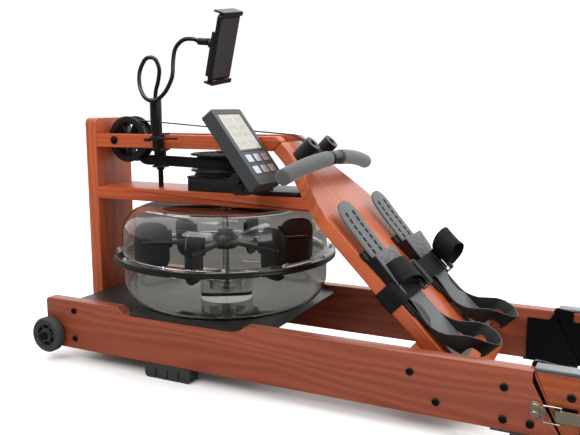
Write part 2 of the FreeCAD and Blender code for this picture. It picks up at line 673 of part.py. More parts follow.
def latch_bases():
    """Plates on the rear rails with two lugs that hold the lever's pin."""
    lugs_z = (LATCH_Z[0] - 2.9, LATCH_Z[1] + 2.9)
    base = block((1103, 1138), (RAIL_OUT, RAIL_OUT + 2), lugs_z)
    for z in ((LATCH_Z[0] - 2.9, LATCH_Z[0] - 0.3), (LATCH_Z[1] + 0.3, LATCH_Z[1] + 2.9)):
        lug = block((1103, 1112), (RAIL_OUT, RAIL_OUT + 8.7), z)
        base = base.fuse(lug)
    pin = disc(1.6, LEVER_AXIS.x, LEVER_AXIS.y, lugs_z)
    return both(base.fuse(pin).removeSplitter())


def latch_lever():
    """The right lever: a flat arm with a barrel round the pin."""
    inner = RAIL_OUT + 8.6
    arm = block((LEVER_AXIS.x, 1176), (inner, inner + 4.2), LATCH_Z)
    arm = rounded(arm, 8.0, V(0, 1, 0), lambda c: c.x > 1170)
    barrel = disc(3.2, LEVER_AXIS.x, LEVER_AXIS.y, LATCH_Z)
    web = block((LEVER_AXIS.x - 2, LEVER_AXIS.x + 3), (LEVER_AXIS.y, inner + 1), LATCH_Z)
    arm = arm.fuse(barrel).fuse(web)
    arm = arm.cut(disc(1.66, LEVER_AXIS.x, LEVER_AXIS.y, (60, 95)))
    for z in ((60.0, LATCH_Z[0] + 3.5), (LATCH_Z[1] - 3.5, 95.0)):
        arm = arm.cut(disc(WIRE_R + 0.1, BAIL_AXIS.x, BAIL_AXIS.y, z))
    return arm


def latch_bail():
    """The right bail: a wire loop with its two ends turned into the lever."""
    low, high = LATCH_Z[0] - 5.0, LATCH_Z[1] + 5.0
    y = BAIL_AXIS.y
    loop = disc(WIRE_R, BAIL_END, y, (low, high))
    for z, stop in ((low, LATCH_Z[0] + 3.0), (high, LATCH_Z[1] - 3.0)):
        loop = loop.fuse(rod(WIRE_R, V(BAIL_END, y, z), V(BAIL_AXIS.x, y, z)))
        loop = loop.fuse(disc(WIRE_R, BAIL_AXIS.x, y, (min(z, stop), max(z, stop))))
        loop = loop.fuse(Part.makeSphere(WIRE_R, V(BAIL_END, y, z)))
        loop = loop.fuse(Part.makeSphere(WIRE_R, V(BAIL_AXIS.x, y, z)))
    return loop


# ---- rear frame and seat --------------------------------------------------------------
def rear_rails():
    outline = seam(SEAM_GAP) + [(REAR_END, FOOT), (REAR_END, RAIL_TOP)]
    rail = slab_y(outline, (RAIL_IN, RAIL_OUT))
    rail = rounded(rail, 10.0, V(0, 1, 0), lambda c: c.x > REAR_END - 1 and c.z > 100)
    rail = drill(rail, REAR_PLATE_BOLTS + REAR_BOLTS, RAIL_IN - 1)
    return both(rail)


def seat_tracks():
    """Aluminium running tracks on the rear rails, with two grooves along their tops."""
    track = block((SEAM_X + 1.5, REAR_END - 12), (RAIL_IN + 1, RAIL_OUT), (RAIL_TOP, TRACK_TOP))
    for y in (RAIL_IN + 4, RAIL_OUT - 4):
        groove = block((SEAM_X, REAR_END), (y - 1, y + 1), (TRACK_TOP - 1.5, TRACK_TOP + 1))
        track = track.cut(groove)
    return both(track)


def rear_cross_boards():
    boards = []
    for x in REAR_BOARDS_X:
        board = block(x, (-RAIL_IN, RAIL_IN), (44.0, 122.0))
        boards.append(drill(board, REAR_BOLTS, 140.0))
    return boards


SEAT_STOPS_X = [(1160.0, 1180.0), (2050.0, 2070.0)]


def rear_feet():
    """Rubber feet under the rear rails, and the seat stops inside them."""
    pad = block((1985, 2095), (RAIL_IN - 2, RAIL_OUT + 2), (0, FOOT))
    pad = rounded(pad, 8.0, V(0, 1, 0), lambda c: c.z < 1)
    pieces = both(pad)
    for x in SEAT_STOPS_X:
        pieces += both(block(x, (RAIL_IN - 16, RAIL_IN), (130, 174)))
    return pieces


CARRIAGE_HALF = 90.0
AXLE_Z = TRACK_TOP + ROLLER_R + 0.1


def seat_carriage():
    """Pressed steel carriage: top plate, two side plates, and its two axles."""
    x = (SEAT_X - CARRIAGE_HALF, SEAT_X + CARRIAGE_HALF)
    body = block(x, (-169, 169), (181, 184))
    side = block(x, (165, 169), (AXLE_Z - 8, 181.5))
    for piece in both(side):
        body = body.fuse(piece)
    for spread in (-AXLE_SPREAD, AXLE_SPREAD):
        centre = SEAT_X + spread
        axle = rod(4.0, V(centre, -202, AXLE_Z), V(centre, 202, AXLE_Z))
        body = body.fuse(axle)
    return body.removeSplitter()


def seat_rollers(spread):
    """The two rollers of one axle."""
    centre = V(SEAT_X + spread, ROLLER_Y, AXLE_Z)
    roller = turned_y([(4.06, -9), (ROLLER_R - 2, -9), (ROLLER_R, -7), (ROLLER_R, 7),
                       (ROLLER_R - 2, 9), (4.06, 9)], centre)
    return both(roller)


def seat_base():
    base = block((SEAT_X - 112, SEAT_X + 112), (-145, 145), (184, 200))
    return rounded(base, 45.0, V(0, 0, 1))


def seat_pad():
    pad = block((SEAT_X - 118, SEAT_X + 118), (-151, 151), (200.2, 246))
    pad = rounded(pad, 48.0, V(0, 0, 1))
    top = [edge for edge in pad.Edges if edge.CenterOfMass.z > 245]
    return pad.makeFillet(16.0, top)


# ---- monitor --------------------------------------------------------------------------
MONITOR_TOP = V(442, -126.5, 567)
MONITOR_SLOPE = 53.0
MONITOR_SIZE = (180.0, 115.0, 28.0)
TILT_LOCAL = (136.0, -47.0)
KEY_ROWS = (120.0, 147.0)
KEY_COLUMNS = (-32.0, 0.0, 32.0)
KEY = (18.0, 22.0)


def on_monitor(shape):
    """Places a piece drawn flat, with X down the monitor's face and Z out of it."""
    placed = shape.copy()
    placed.rotate(V(0, 0, 0), V(0, 1, 0), MONITOR_SLOPE)
    placed.translate(MONITOR_TOP)
    return placed


def key_spots():
    return [(u, v) for u in KEY_ROWS for v in KEY_COLUMNS]


def monitor_housing():
    length, width, depth = MONITOR_SIZE
    case = block((0, length), (-width / 2, width / 2), (-depth, 0))
    case = rounded(case, 5.0, V(0, 0, 1))
    case = case.cut(block((12, 98), (-44, 44), (-3, 1)))
    case = case.cut(block((103, 105), (-50, 50), (-1.2, 1)))
    for u, v in key_spots():
        hole = block((u - KEY[0] / 2 - 0.4, u + KEY[0] / 2 + 0.4),
                     (v - KEY[1] / 2 - 0.4, v + KEY[1] / 2 + 0.4), (-4.5, 1))
        case = case.cut(hole)
    lug = block((TILT_LOCAL[0] - 10, TILT_LOCAL[0] + 10), (-18, 18), (TILT_LOCAL[1], -depth + 1))
    end = rod(10.0, V(TILT_LOCAL[0], -18, TILT_LOCAL[1]), V(TILT_LOCAL[0], 18, TILT_LOCAL[1]))
    bore = rod(4.06, V(TILT_LOCAL[0], -20, TILT_LOCAL[1]), V(TILT_LOCAL[0], 20, TILT_LOCAL[1]))
    return on_monitor(case.fuse(lug).fuse(end).cut(bore).removeSplitter())


def monitor_screen():
    return on_monitor(block((12.2, 97.8), (-43.8, 43.8), (-2.9, -1.0)))


def monitor_key(u, v):
    key = block((u - KEY[0] / 2, u + KEY[0] / 2), (v - KEY[1] / 2, v + KEY[1] / 2), (-2.5, 1.2))
    return on_monitor(rounded(key, 3.0, V(0, 0, 1)))


def tilt_centre():
    """The monitor's tilt axis at rest, worked out from its place on the case."""
    slope = math.radians(MONITOR_SLOPE)
    u, n = TILT_LOCAL
    return V(MONITOR_TOP.x + u * math.cos(slope) + n * math.sin(slope), MONITOR_TOP.y,
             MONITOR_TOP.z - u * math.sin(slope) + n * math.cos(slope))


def monitor_bracket():
    """A plate out from the housing with a fork, its pin and the tilt knob."""
    centre = tilt_centre()
    plate = block((centre.x - 14, centre.x + 14), (centre.y - 26, -58.3), (396.0, 401.0))
    fork = plate
    for y in (centre.y - 26, centre.y + 20):
        arm = block((centre.x - 9, centre.x + 9), (y, y + 6), (396.0, centre.z))
        arm = arm.fuse(rod(9.0, V(centre.x, y, centre.z), V(centre.x, y + 6, centre.z)))
        fork = fork.fuse(arm)
    foot = block((centre.x - 14, centre.x + 14), (-66, -30), (395.2, 401.0))
    pin = rod(4.0, centre - V(0, 34, 0), centre + V(0, 27, 0))
    knob = rod(11.0, centre - V(0, 44, 0), centre - V(0, 30, 0))
    return fork.fuse(foot).fuse(pin).fuse(knob).removeSplitter()


# ---- phone post, gooseneck and cradle ---------------------------------------------------
PHONE = V(410.5, -78, 693.5)
PHONE_TURNS = ((V(1, 0, 0), 9.0), (V(0, 1, 0), 19.0), (V(0, 0, 1), -2.2))
PHONE_SIZE = (9.0, 68.0, 142.0)
POST_TOP = 591.0
BALL_BACK = -32.0           # the cradle's ball, behind the middle of the phone


def at_phone(shape):
    """Places a piece drawn upright, with X out of the phone's face."""
    placed = shape.copy()
    for axis, angle in PHONE_TURNS:
        placed.rotate(V(0, 0, 0), axis, angle)
    placed.translate(PHONE)
    return placed


def at_phone_point(point):
    return at_phone(Part.Vertex(point)).Point


def phone_post():
    """An upright tube clamped to the outer face of the near upper rail."""
    x, y = POST_XY
    tube = disc(13.0, x, y, (514.0, POST_TOP)).fuse(disc(10.0, x, y, (474.0, 514.2)))
    for z in ((TOP_RAIL_Z[1] + 0.1, TOP_RAIL_Z[1] + 4.1),
              (TOP_RAIL_Z[0] - 4.1, TOP_RAIL_Z[0] - 0.1)):
        tube = tube.fuse(block((x - 9, x + 9), (y, -40), z))
    spine = block((x - 9, x + 9), (y, -POST_HALF - 0.1),
                  (TOP_RAIL_Z[0] - 4.1, TOP_RAIL_Z[1] + 4.1))
    tube = tube.fuse(spine).cut(disc(4.6, x, y, (560.0, POST_TOP + 1)))
    tube = tube.cut(turned([(10.1, 497.8), (40, 497.8), (40, 508.2), (10.1, 508.2)], x, y)
                    .common(block((x - 40, x + 40), (y - 40, y + 9.0), (490, 512))))
    return tube.removeSplitter()


def clamp_lever():
    """A split collar half round the post, with a flat tapered finger lever."""
    x, y = POST_XY
    ring = turned([(10.3, 498.0), (15, 498.0), (15, 508.0), (10.3, 508.0)], x, y)
    ring = ring.common(block((x - 30, x + 30), (y - 30, y - 2), (490, 512)))
    lever = slab_z([(x + 9, y - 12), (x + 20, y - 14), (x + 58, y - 8), (x + 58, y - 3),
                    (x + 22, y - 2.2), (x + 11.5, y - 2.2)], (501.0, 505.0))
    knob = disc(8.0, x - 18, y - 10, (496.0, 503.0))
    lever = lever.fuse(knob)
    lever = lever.cut(disc(10.3, x, y, (480, 520)))
    return ring.fuse(lever).removeSplitter()


def tangent_route(points):
    """One smooth wire: straight runs joined by the largest tangent arcs that fit."""
    edges = []
    reach = [0.0] + [0.45 * min((points[i] - points[i - 1]).Length,
                                (points[i + 1] - points[i]).Length)
                     for i in range(1, len(points) - 1)] + [0.0]
    last = points[0]
    for i in range(1, len(points) - 1):
        back = (points[i - 1] - points[i]).normalize()
        ahead = (points[i + 1] - points[i]).normalize()
        turn = math.pi - back.getAngle(ahead)
        start = points[i] + back * reach[i]
        end = points[i] + ahead * reach[i]
        radius = reach[i] / math.tan(turn / 2.0)
        depth = radius / math.cos(turn / 2.0) - radius
        middle = points[i] + (back + ahead).normalize() * depth
        edges.append(Part.LineSegment(last, start).toShape())
        edges.append(Part.Arc(start, middle, end).toShape())
        last = end
    edges.append(Part.LineSegment(last, points[-1]).toShape())
    return Part.Wire(edges)


def gooseneck_points():
    """The arm's route: up from the post, round one loop, and over to the cradle."""
    x, y = POST_XY
    ball = at_phone_point(V(BALL_BACK - 8, 0, 0))
    back = at_phone_point(V(BALL_BACK - 34, 0, -6))
    return [V(x, y, 564), V(x, y, 604), V(x + 9, y, 627), V(x + 15, y - 1, 655),
            V(x + 5, y - 4, 679), V(x - 16, y - 9, 679), V(x - 31, y - 14, 651),
            V(x - 29, y - 19, 618), V(x - 11, y - 24, 590), V(x + 17, y - 26, 582),
            V(x + 45, y - 24, 602), V(x + 61, y - 18, 636), V(x + 58, y - 12, 668),
            V(x + 61, y - 8, 697), V(x + 80, y - 4, 715), V(x + 106, y - 2, 714), back, ball]


def gooseneck():
    wire = tangent_route(gooseneck_points())
    start = gooseneck_points()[0]
    run = gooseneck_points()[1] - start
    section = Part.Wire([Part.makeCircle(4.5, start, run)])
    tube = wire.makePipeShell([section], True, False)
    tube = tube.Solids[0] if tube.Solids else Part.makeSolid(tube)
    return tube.fuse(cradle_socket())


def cradle_socket():
    """The sleeve at the arm's end, with the ball that the cradle turns on."""
    ball = at_phone(Part.makeSphere(7.0, V(BALL_BACK, 0, 0)))
    sleeve = at_phone(rod(7.5, V(BALL_BACK - 33, 0, -6), V(BALL_BACK - 8.5, 0, 0)))
    neck = at_phone(rod(3.4, V(BALL_BACK - 9, 0, 0), V(BALL_BACK, 0, 0)))
    return sleeve.fuse(neck).fuse(ball)


def cradle_back():
    """The ball cup, back plate and fixed lower jaw of the phone cradle."""
    half = PHONE_SIZE[2] / 2.0
    plate = block((-17, -10), (-26, 26), (-half + 8, 30))
    slide = block((-17, -10), (-14, 14), (30, 52)).cut(block((-15.6, -11.4), (-10.4, 10.4),
                                                              (20, 60)))
    plate = plate.cut(block((-15.6, -11.4), (-10.4, 10.4), (-20, 60)))
    cup = rod(11.0, V(BALL_BACK - 2, 0, 0), V(-16.5, 0, 0))
    cup = cup.cut(Part.makeSphere(7.3, V(BALL_BACK, 0, 0)))
    cup = cup.cut(rod(8.6, V(BALL_BACK - 4, 0, 0), V(BALL_BACK + 1, 0, 0)))
    web = block((-12, -9.5), (-22, 22), (-half - 5, -half + 12))
    jaw = block((-12, 10), (-34, 34), (-half - 5.0, -half - 1.0))
    lip = block((7.0, 10), (-34, 34), (-half - 2, -half + 4))
    body = plate.fuse(slide).fuse(cup).fuse(web).fuse(jaw).fuse(lip)
    return at_phone(body.removeSplitter())


def upper_jaw():
    """The sprung jaw: a tongue in the back plate and a hooked bar over the phone."""
    half = PHONE_SIZE[2] / 2.0
    tongue = block((-15.3, -11.7), (-10.0, 10.0), (-6, half + 4.5))
    bar = block((-15.3, 10), (-34, 34), (half + 1.0, half + 5.0))
    lip = block((7.0, 10), (-34, 34), (half - 4, half + 2))
    return at_phone(tongue.fuse(bar).fuse(lip).removeSplitter())


def handset():
    half = PHONE_SIZE[2] / 2.0
    body = block((-4.5, 4.5), (-PHONE_SIZE[1] / 2, PHONE_SIZE[1] / 2), (-half, half))
    return at_phone(rounded(body, 9.0, V(1, 0, 0)))


# ---- writing --------------------------------------------------------------------------
NODES = {
    "front_rails": [front_rails],
    "post_and_cross_boards": [front_post, frame_blocks],
    "top_rails": [top_rails],
    "shelf_board": [shelf_board],
    "foot_board": [foot_board],
    "front_feet": [front_feet],
    "front_hardware": [front_bolts, front_hinge_plates],
    "latch_keepers": [latch_keepers],
    "tank_tray": [tank_tray],
    "tank_lower_shell": [tank_lower_shell],
    "tank_upper_shell": [tank_upper_shell],
    "tank_gasket": [tank_gasket],
    "rim_bolts": [rim_bolts],
    "impeller": [impeller],
    "impeller_shaft": [impeller_shaft],
    "strap_pulley": [strap_pulley],
    "strap_axles": [strap_axles],
    "idler_roller": [idler_roller],
    "strap_drum": [strap_drum],
    "drum_housing": [drum_housing],
    "pull_strap": [pull_strap],
    "handle_strap": [handle_strap],
    "handle_bar": [handle_bar],
    "hand_grips": [hand_grips],
    "handle_rests": [handle_rests],
    "foot_bases": [foot_bases],
    "foot_straps": [foot_straps],
    "rear_hardware": [rear_bolts, rear_hinge_plates, latch_bases],
    "rear_rails": [rear_rails],
    "seat_tracks": [seat_tracks],
    "rear_cross_boards": [rear_cross_boards],
    "rear_feet": [rear_feet],
    "seat_carriage": [seat_carriage],
    "seat_base": [seat_base],
    "seat_pad": [seat_pad],
    "monitor_housing": [monitor_housing],
    "monitor_screen": [monitor_screen],
    "monitor_bracket": [monitor_bracket],
    "phone_post": [phone_post],
    "clamp_lever": [clamp_lever],
    "gooseneck": [gooseneck],
    "cradle_back": [cradle_back],
    "upper_jaw": [upper_jaw],
    "handset": [handset],
}


def main():
    os.makedirs("parts", exist_ok=True)
    for name, makers in NODES.items():
        pieces = []
        for make in makers:
            made = make()
            pieces += made if isinstance(made, list) else [made]
        save(name, pieces)
    save("front_rollers", seat_rollers(-AXLE_SPREAD))
    save("rear_rollers", seat_rollers(AXLE_SPREAD))
    pairs = {"heel_cup": [heel_cup()], "wheel": transport_wheel(),
             "latch_lever": [latch_lever()], "latch_bail": [latch_bail()]}
    for name, right in pairs.items():
        save("right_" + name, right)
        save("left_" + name, [mirrored(piece) for piece in right])
    for number, (u, v) in enumerate(key_spots(), start=1):
        save("monitor_key_" + str(number), [monitor_key(u, v)])


main()
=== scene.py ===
"""Looks of a wooden water-resistance rowing machine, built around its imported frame."""
import json
import logging
import math
from dataclasses import dataclass, field
from enum import Enum

import bmesh
import bpy
import numpy as np
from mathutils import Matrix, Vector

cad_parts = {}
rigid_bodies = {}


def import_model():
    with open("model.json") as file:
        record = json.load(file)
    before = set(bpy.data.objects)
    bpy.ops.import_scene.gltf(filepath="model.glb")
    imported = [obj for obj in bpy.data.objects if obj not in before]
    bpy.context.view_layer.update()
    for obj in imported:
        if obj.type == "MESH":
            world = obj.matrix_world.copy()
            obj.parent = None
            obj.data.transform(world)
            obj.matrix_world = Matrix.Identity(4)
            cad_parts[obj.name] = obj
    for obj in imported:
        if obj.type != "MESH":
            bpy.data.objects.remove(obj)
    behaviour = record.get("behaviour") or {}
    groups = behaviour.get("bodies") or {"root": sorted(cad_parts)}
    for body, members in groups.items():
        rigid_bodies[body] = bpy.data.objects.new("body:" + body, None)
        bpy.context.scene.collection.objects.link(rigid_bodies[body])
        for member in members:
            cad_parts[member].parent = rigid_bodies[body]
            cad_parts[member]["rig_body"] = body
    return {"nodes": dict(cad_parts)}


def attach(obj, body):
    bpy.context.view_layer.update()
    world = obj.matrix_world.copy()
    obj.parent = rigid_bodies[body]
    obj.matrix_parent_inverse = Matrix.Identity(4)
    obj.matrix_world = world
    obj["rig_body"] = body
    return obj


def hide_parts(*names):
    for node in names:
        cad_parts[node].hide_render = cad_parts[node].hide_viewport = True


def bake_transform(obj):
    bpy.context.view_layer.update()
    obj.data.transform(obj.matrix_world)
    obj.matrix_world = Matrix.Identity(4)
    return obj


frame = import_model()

Array = np.ndarray
LOG = logging.getLogger("rower")
X_CENTRE = 1044.0       # from the rails' front end to the model's origin, in mm
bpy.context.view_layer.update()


# ---- surfaces ---------------------------------------------------------------------
@dataclass
class Shell:
    """A mesh in millimetres: corner points, four-sided faces, end caps and a strip map."""

    verts: Array
    quads: Array
    caps: list[Array] = field(default_factory=list)
    strip: Array | None = None

    def moved(self, origin: Array, axes: Array) -> "Shell":
        """The shell with each point p put at origin + p . axes (axes as three rows)."""
        return Shell(self.verts @ np.asarray(axes, float) + np.asarray(origin, float),
                     self.quads, self.caps, self.strip)

    def mirrored(self) -> "Shell":
        """The same shell on the other side of the centre plane, where y turns to -y."""
        return Shell(self.verts * (1, -1, 1), self.quads, self.caps, self.strip)


def join(shells: list[Shell]) -> Shell:
    """Puts several shells into one by shifting each one's point numbers.

    Args:
        shells: the shells, in order.
    Returns:
        One shell that holds them all.
    """
    starts = np.cumsum([0] + [len(s.verts) for s in shells[:-1]])
    strips = [np.zeros((len(s.verts), 2)) if s.strip is None else s.strip for s in shells]
    return Shell(np.concatenate([s.verts for s in shells]),
                 np.concatenate([s.quads + start for s, start in zip(shells, starts)]),
                 [cap + start for s, start in zip(shells, starts) for cap in s.caps],
                 np.concatenate(strips))


def both(shell: Shell) -> Shell:
    """The shell and its mirror image as one."""
    return join([shell, shell.mirrored()])


def grid(points: Array, wrap_rows: bool = False, wrap_cols: bool = False,
         caps: bool = False) -> Shell:
    """Faces between neighbours of a (rows, columns, 3) array of points.

    Args:
        points: the surface's points; a row is one ring or one line across.
        wrap_rows: joins the last row to the first.
        wrap_cols: joins the last column to the first.
        caps: closes the first and the last row with one flat face each.
    Returns:
        The surface as a shell.
    """
    rows, cols = points.shape[:2]
    number = np.arange(rows * cols).reshape(rows, cols)
    if wrap_rows:
        number = np.vstack([number, number[:1]])
    if wrap_cols:
        number = np.hstack([number, number[:, :1]])
    quads = np.stack([number[:-1, :-1], number[:-1, 1:], number[1:, 1:], number[1:, :-1]], -1)
    ends = [number[0, :cols][::-1], number[-1, :cols]] if caps else []
    return Shell(points.reshape(-1, 3).astype(float), quads.reshape(-1, 4), ends)


def rounded(points: list[tuple[float, float]], radius: float | list[float],
            steps: int = 6) -> Array:
    """Rounds an outline's corners with (1-t)^2 a + 2t(1-t) p + t^2 b between two cut points.

    Args:
        points: the outline's corners in order.
        radius: how far from each corner its curve starts, one number or one per corner.
        steps: points on each corner's curve.
    Returns:
        The new outline as an (n, 2) array.
    """
    corner = np.asarray(points, float)
    ahead = np.roll(corner, -1, 0) - corner
    back = np.roll(corner, 1, 0) - corner
    far = np.linalg.norm(ahead, axis=1, keepdims=True)
    near = np.linalg.norm(back, axis=1, keepdims=True)
    reach = np.broadcast_to(np.reshape(radius, (-1, 1)), far.shape)
    reach = np.minimum(reach, 0.48 * np.minimum(far, near))
    start = (corner + back / near * reach)[:, None]
    end = (corner + ahead / far * reach)[:, None]
    t = np.linspace(0, 1, steps)[None, :, None]
    curve = (1 - t) ** 2 * start + 2 * t * (1 - t) * corner[:, None] + t ** 2 * end
    return curve.reshape(-1, 2)


def inset(outline: Array, distance: Array) -> Array:
    """Moves a closed outline inwards: each point goes along the sum of its edges' normals.

    Args:
        outline: (n, 2) points in order.
        distance: (k,) distances in mm.
    Returns:
        (k, n, 2) outlines.
    """
    ahead = np.roll(outline, -1, 0) - outline
    ahead /= np.maximum(np.linalg.norm(ahead, axis=1, keepdims=True), 1e-9)
    normal = np.stack([-ahead[:, 1], ahead[:, 0]], 1)
    x, y = outline.T
    if np.sum(x * np.roll(y, -1) - y * np.roll(x, -1)) < 0:
        normal = -normal
    before = np.roll(normal, 1, 0)
    mitre = (normal + before) / np.maximum(1 + np.sum(normal * before, 1), 0.3)[:, None]
    return outline + np.asarray(distance)[:, None, None] * mitre


def slab(outline: Array, low: float, high: float, edge: float = 2.0, steps: int = 3) -> Shell:
    """A plate with rounded edges: at angle a round an edge the outline is moved in by
    edge (1 - sin a) and lies edge (1 - cos a) from the face.

    Args:
        outline: (n, 2) outline in u and v.
        low: the lower face along w.
        high: the upper face along w.
        edge: radius of the rounded edges.
        steps: faces round each edge.
    Returns:
        The plate with columns u, v, w.
    """
    outline = np.asarray(outline, float)
    angle = np.linspace(0, math.pi / 2, steps + 1)
    inwards = edge * (1 - np.sin(angle))
    rise = edge * (1 - np.cos(angle))
    rings = inset(outline, np.concatenate([inwards, inwards[::-1]]))
    level = np.concatenate([low + rise, high - rise[::-1]])
    level = np.broadcast_to(level[:, None, None], rings.shape[:2] + (1,))
    return grid(np.concatenate([rings, level], 2), wrap_cols=True, caps=True)


def lathe(profile: list[tuple[float, float]] | Array, segments: int = 96,
          closed: bool = True) -> Shell:
    """Turns a (radius, height) profile about w: (r cos a, r sin a, h) for a full turn.

    Args:
        profile: the section's points.
        segments: faces round the axis.
        closed: joins the profile's last point to its first.
    Returns:
        The turned surface.
    """
    section = np.asarray(profile, float)
    angle = np.arange(segments) * 2 * math.pi / segments
    ring = np.stack([np.cos(angle), np.sin(angle)], 1)
    points = np.empty((len(section), segments, 3))
    points[..., :2] = section[:, None, :1] * ring[None]
    points[..., 2] = section[:, 1:2]
    return grid(points, wrap_rows=closed, wrap_cols=True)


def curve(points: list[tuple[float, ...]] | Array, count: int) -> Array:
    """A smooth line through points: p = 0.5 (2b + (c-a)t + (2a-5b+4c-d)t^2 + (3b-a-3c+d)t^3)
    between b and c, with a and d their neighbours.

    Args:
        points: the points that it passes.
        count: how many samples it has.
    Returns:
        (count, k) samples.
    """
    p = np.asarray(points, float)
    p = np.vstack([2 * p[0] - p[1], p, 2 * p[-1] - p[-2]])
    place = np.linspace(0, len(p) - 3 - 1e-9, count)
    i = place.astype(int)
    t = (place - i)[:, None]
    a, b, c, d = p[i], p[i + 1], p[i + 2], p[i + 3]
    return 0.5 * (2 * b + (c - a) * t + (2 * a - 5 * b + 4 * c - d) * t ** 2
                  + (3 * b - a - 3 * c + d) * t ** 3)


def sweep(path: Array, section: Array, side: Array, scale: Array | None = None) -> Shell:
    """Carries a closed section along a path: point = path + u side' + v (tangent x side'),
    with side' the part of side that is square to the path.

    Args:
        path: (m, 3) centre line.
        section: (k, 2) section, u along side and v square to it.
        side: one direction, or one per point of the path.
        scale: the section's size at each point of the path.
    Returns:
        The swept shell, with its strip map in mm across and along.
    """
    tangent = np.gradient(path, axis=0)
    tangent /= np.linalg.norm(tangent, axis=1, keepdims=True)
    side = np.broadcast_to(np.asarray(side, float), path.shape)
    side = side - np.sum(side * tangent, 1, keepdims=True) * tangent
    side = side / np.linalg.norm(side, axis=1, keepdims=True)
    up = np.cross(tangent, side)
    size = np.ones(len(path)) if scale is None else scale
    points = path[:, None] + size[:, None, None] * (
        section[None, :, :1] * side[:, None] + section[None, :, 1:] * up[:, None])
    shell = grid(points, wrap_cols=True, caps=True)
    step = np.linalg.norm(np.diff(path, axis=0), axis=1)
    along = np.concatenate([[0], np.cumsum(step)])
    across = np.broadcast_to(section[None, :, 0], points.shape[:2])
    along = np.broadcast_to(along[:, None], points.shape[:2])
    shell.strip = np.stack([across, along], -1).reshape(-1, 2)
    return shell


def circle(radius: float, count: int = 24) -> Array:
    """A round section: (r cos a, r sin a)."""
    angle = np.arange(count) * 2 * math.pi / count
    return radius * np.stack([np.cos(angle), np.sin(angle)], 1)


def band(width: float, thick: float) -> Array:
    """A flat strap's section with rounded sides, from one side round to the same side."""
    return rounded([(-width / 2, -thick / 2), (width / 2, -thick / 2),
                    (width / 2, thick / 2), (-width / 2, thick / 2)], thick * 0.45, 4)


def straight_tube(radius: float, start: Array, end: Array, edge: float = 0.0,
                  count: int = 32) -> Shell:
    """A round bar between two points, its ends rounded by edge."""
    start, end = np.asarray(start, float), np.asarray(end, float)
    run = np.linalg.norm(end - start)
    w = (end - start) / run
    u = np.cross(w, (0, 0, 1)) if abs(w[2]) < 0.9 else np.cross(w, (1, 0, 0))
    u /= np.linalg.norm(u)
    shell = slab(circle(radius, count), 0, run, edge or radius * 0.05, 3)
    return shell.moved(start, np.stack([u, np.cross(w, u), w]))


# Axes as rows u, v, w for outlines drawn in the named plane.
XZ = np.array([(1, 0, 0), (0, 0, 1), (0, 1, 0)], float)
XY = np.eye(3)
YZ = np.array([(0, 1, 0), (0, 0, 1), (1, 0, 0)], float)


def plate(outline: Array, plane: Array, low: float, high: float, edge: float = 2.0) -> Shell:
    """A rounded plate whose outline lies in one of the main planes."""
    return slab(outline, low, high, edge).moved((0, 0, 0), plane)


def box(x: tuple[float, float], y: tuple[float, float], z: tuple[float, float],
        edge: float = 2.0, corner: float = 0.0) -> Shell:
    """A block with rounded edges between three pairs of limits."""
    outline = [(x[0], y[0]), (x[1], y[0]), (x[1], y[1]), (x[0], y[1])]
    return plate(rounded(outline, max(corner, edge * 0.8), 6), XY, z[0], z[1], edge)


def turned(profile: list[tuple[float, float]], x: float, y: float,
           segments: int = 96) -> Shell:
    """A closed (radius, height) profile turned about the upright axis at x, y."""
    return lathe(profile, segments).moved((x, y, 0), XY)


def wheel(profile: list[tuple[float, float]], centre: Array, segments: int = 96) -> Shell:
    """A closed (radius, y) profile turned about a crosswise axis through centre."""
    return lathe(profile, segments).moved(centre, XZ)


# ---- finishes ---------------------------------------------------------------------
def linear(code: str) -> tuple[float, float, float, float]:
    """Turns an sRGB hex code into a linear colour."""
    channel = np.array([int(code[i:i + 2], 16) for i in (1, 3, 5)]) / 255
    low, high = channel / 12.92, ((channel + 0.055) / 1.055) ** 2.4
    return (*np.where(channel <= 0.04045, low, high).tolist(), 1.0)


def add(tree: bpy.types.NodeTree, kind: str, links: dict | None = None,
        **settings: object) -> bpy.types.Node:
    """Adds one node with its settings and its inputs.

    Args:
        tree: the material's node tree.
        kind: the node's type name without its common prefix.
        links: input name or number to a value, or to the output socket that feeds it.
        settings: properties of the node.
    Returns:
        The new node.
    """
    new = tree.nodes.new("ShaderNode" + kind)
    for name, value in settings.items():
        setattr(new, name, value)
    for name, value in (links or {}).items():
        if isinstance(value, bpy.types.NodeSocket):
            tree.links.new(value, new.inputs[name])
        else:
            new.inputs[name].default_value = value
    return new


def ramp(tree: bpy.types.NodeTree, source: bpy.types.NodeSocket,
         stops: list[tuple[float, str]]) -> bpy.types.NodeSocket:
    """Turns a value into a colour through hex stops."""
    new = add(tree, "ValToRGB", {0: source})
    elements = new.color_ramp.elements
    while len(elements) < len(stops):
        elements.new(0.5)
    for element, (place, code) in zip(elements, stops):
        element.position = place
        element.color = linear(code)
    return new.outputs[0]


class Grain(Enum):
    """Turn of a pattern, in radians, that lays its X axis along a board."""

    ALONG = (0.0, 0.0, 0.0)
    ACROSS = (0.0, 0.0, math.pi / 2)
    UPRIGHT = (0.0, math.pi / 2, 0.0)
    SLOPED = (0.0, math.radians(-45.3), 0.0)


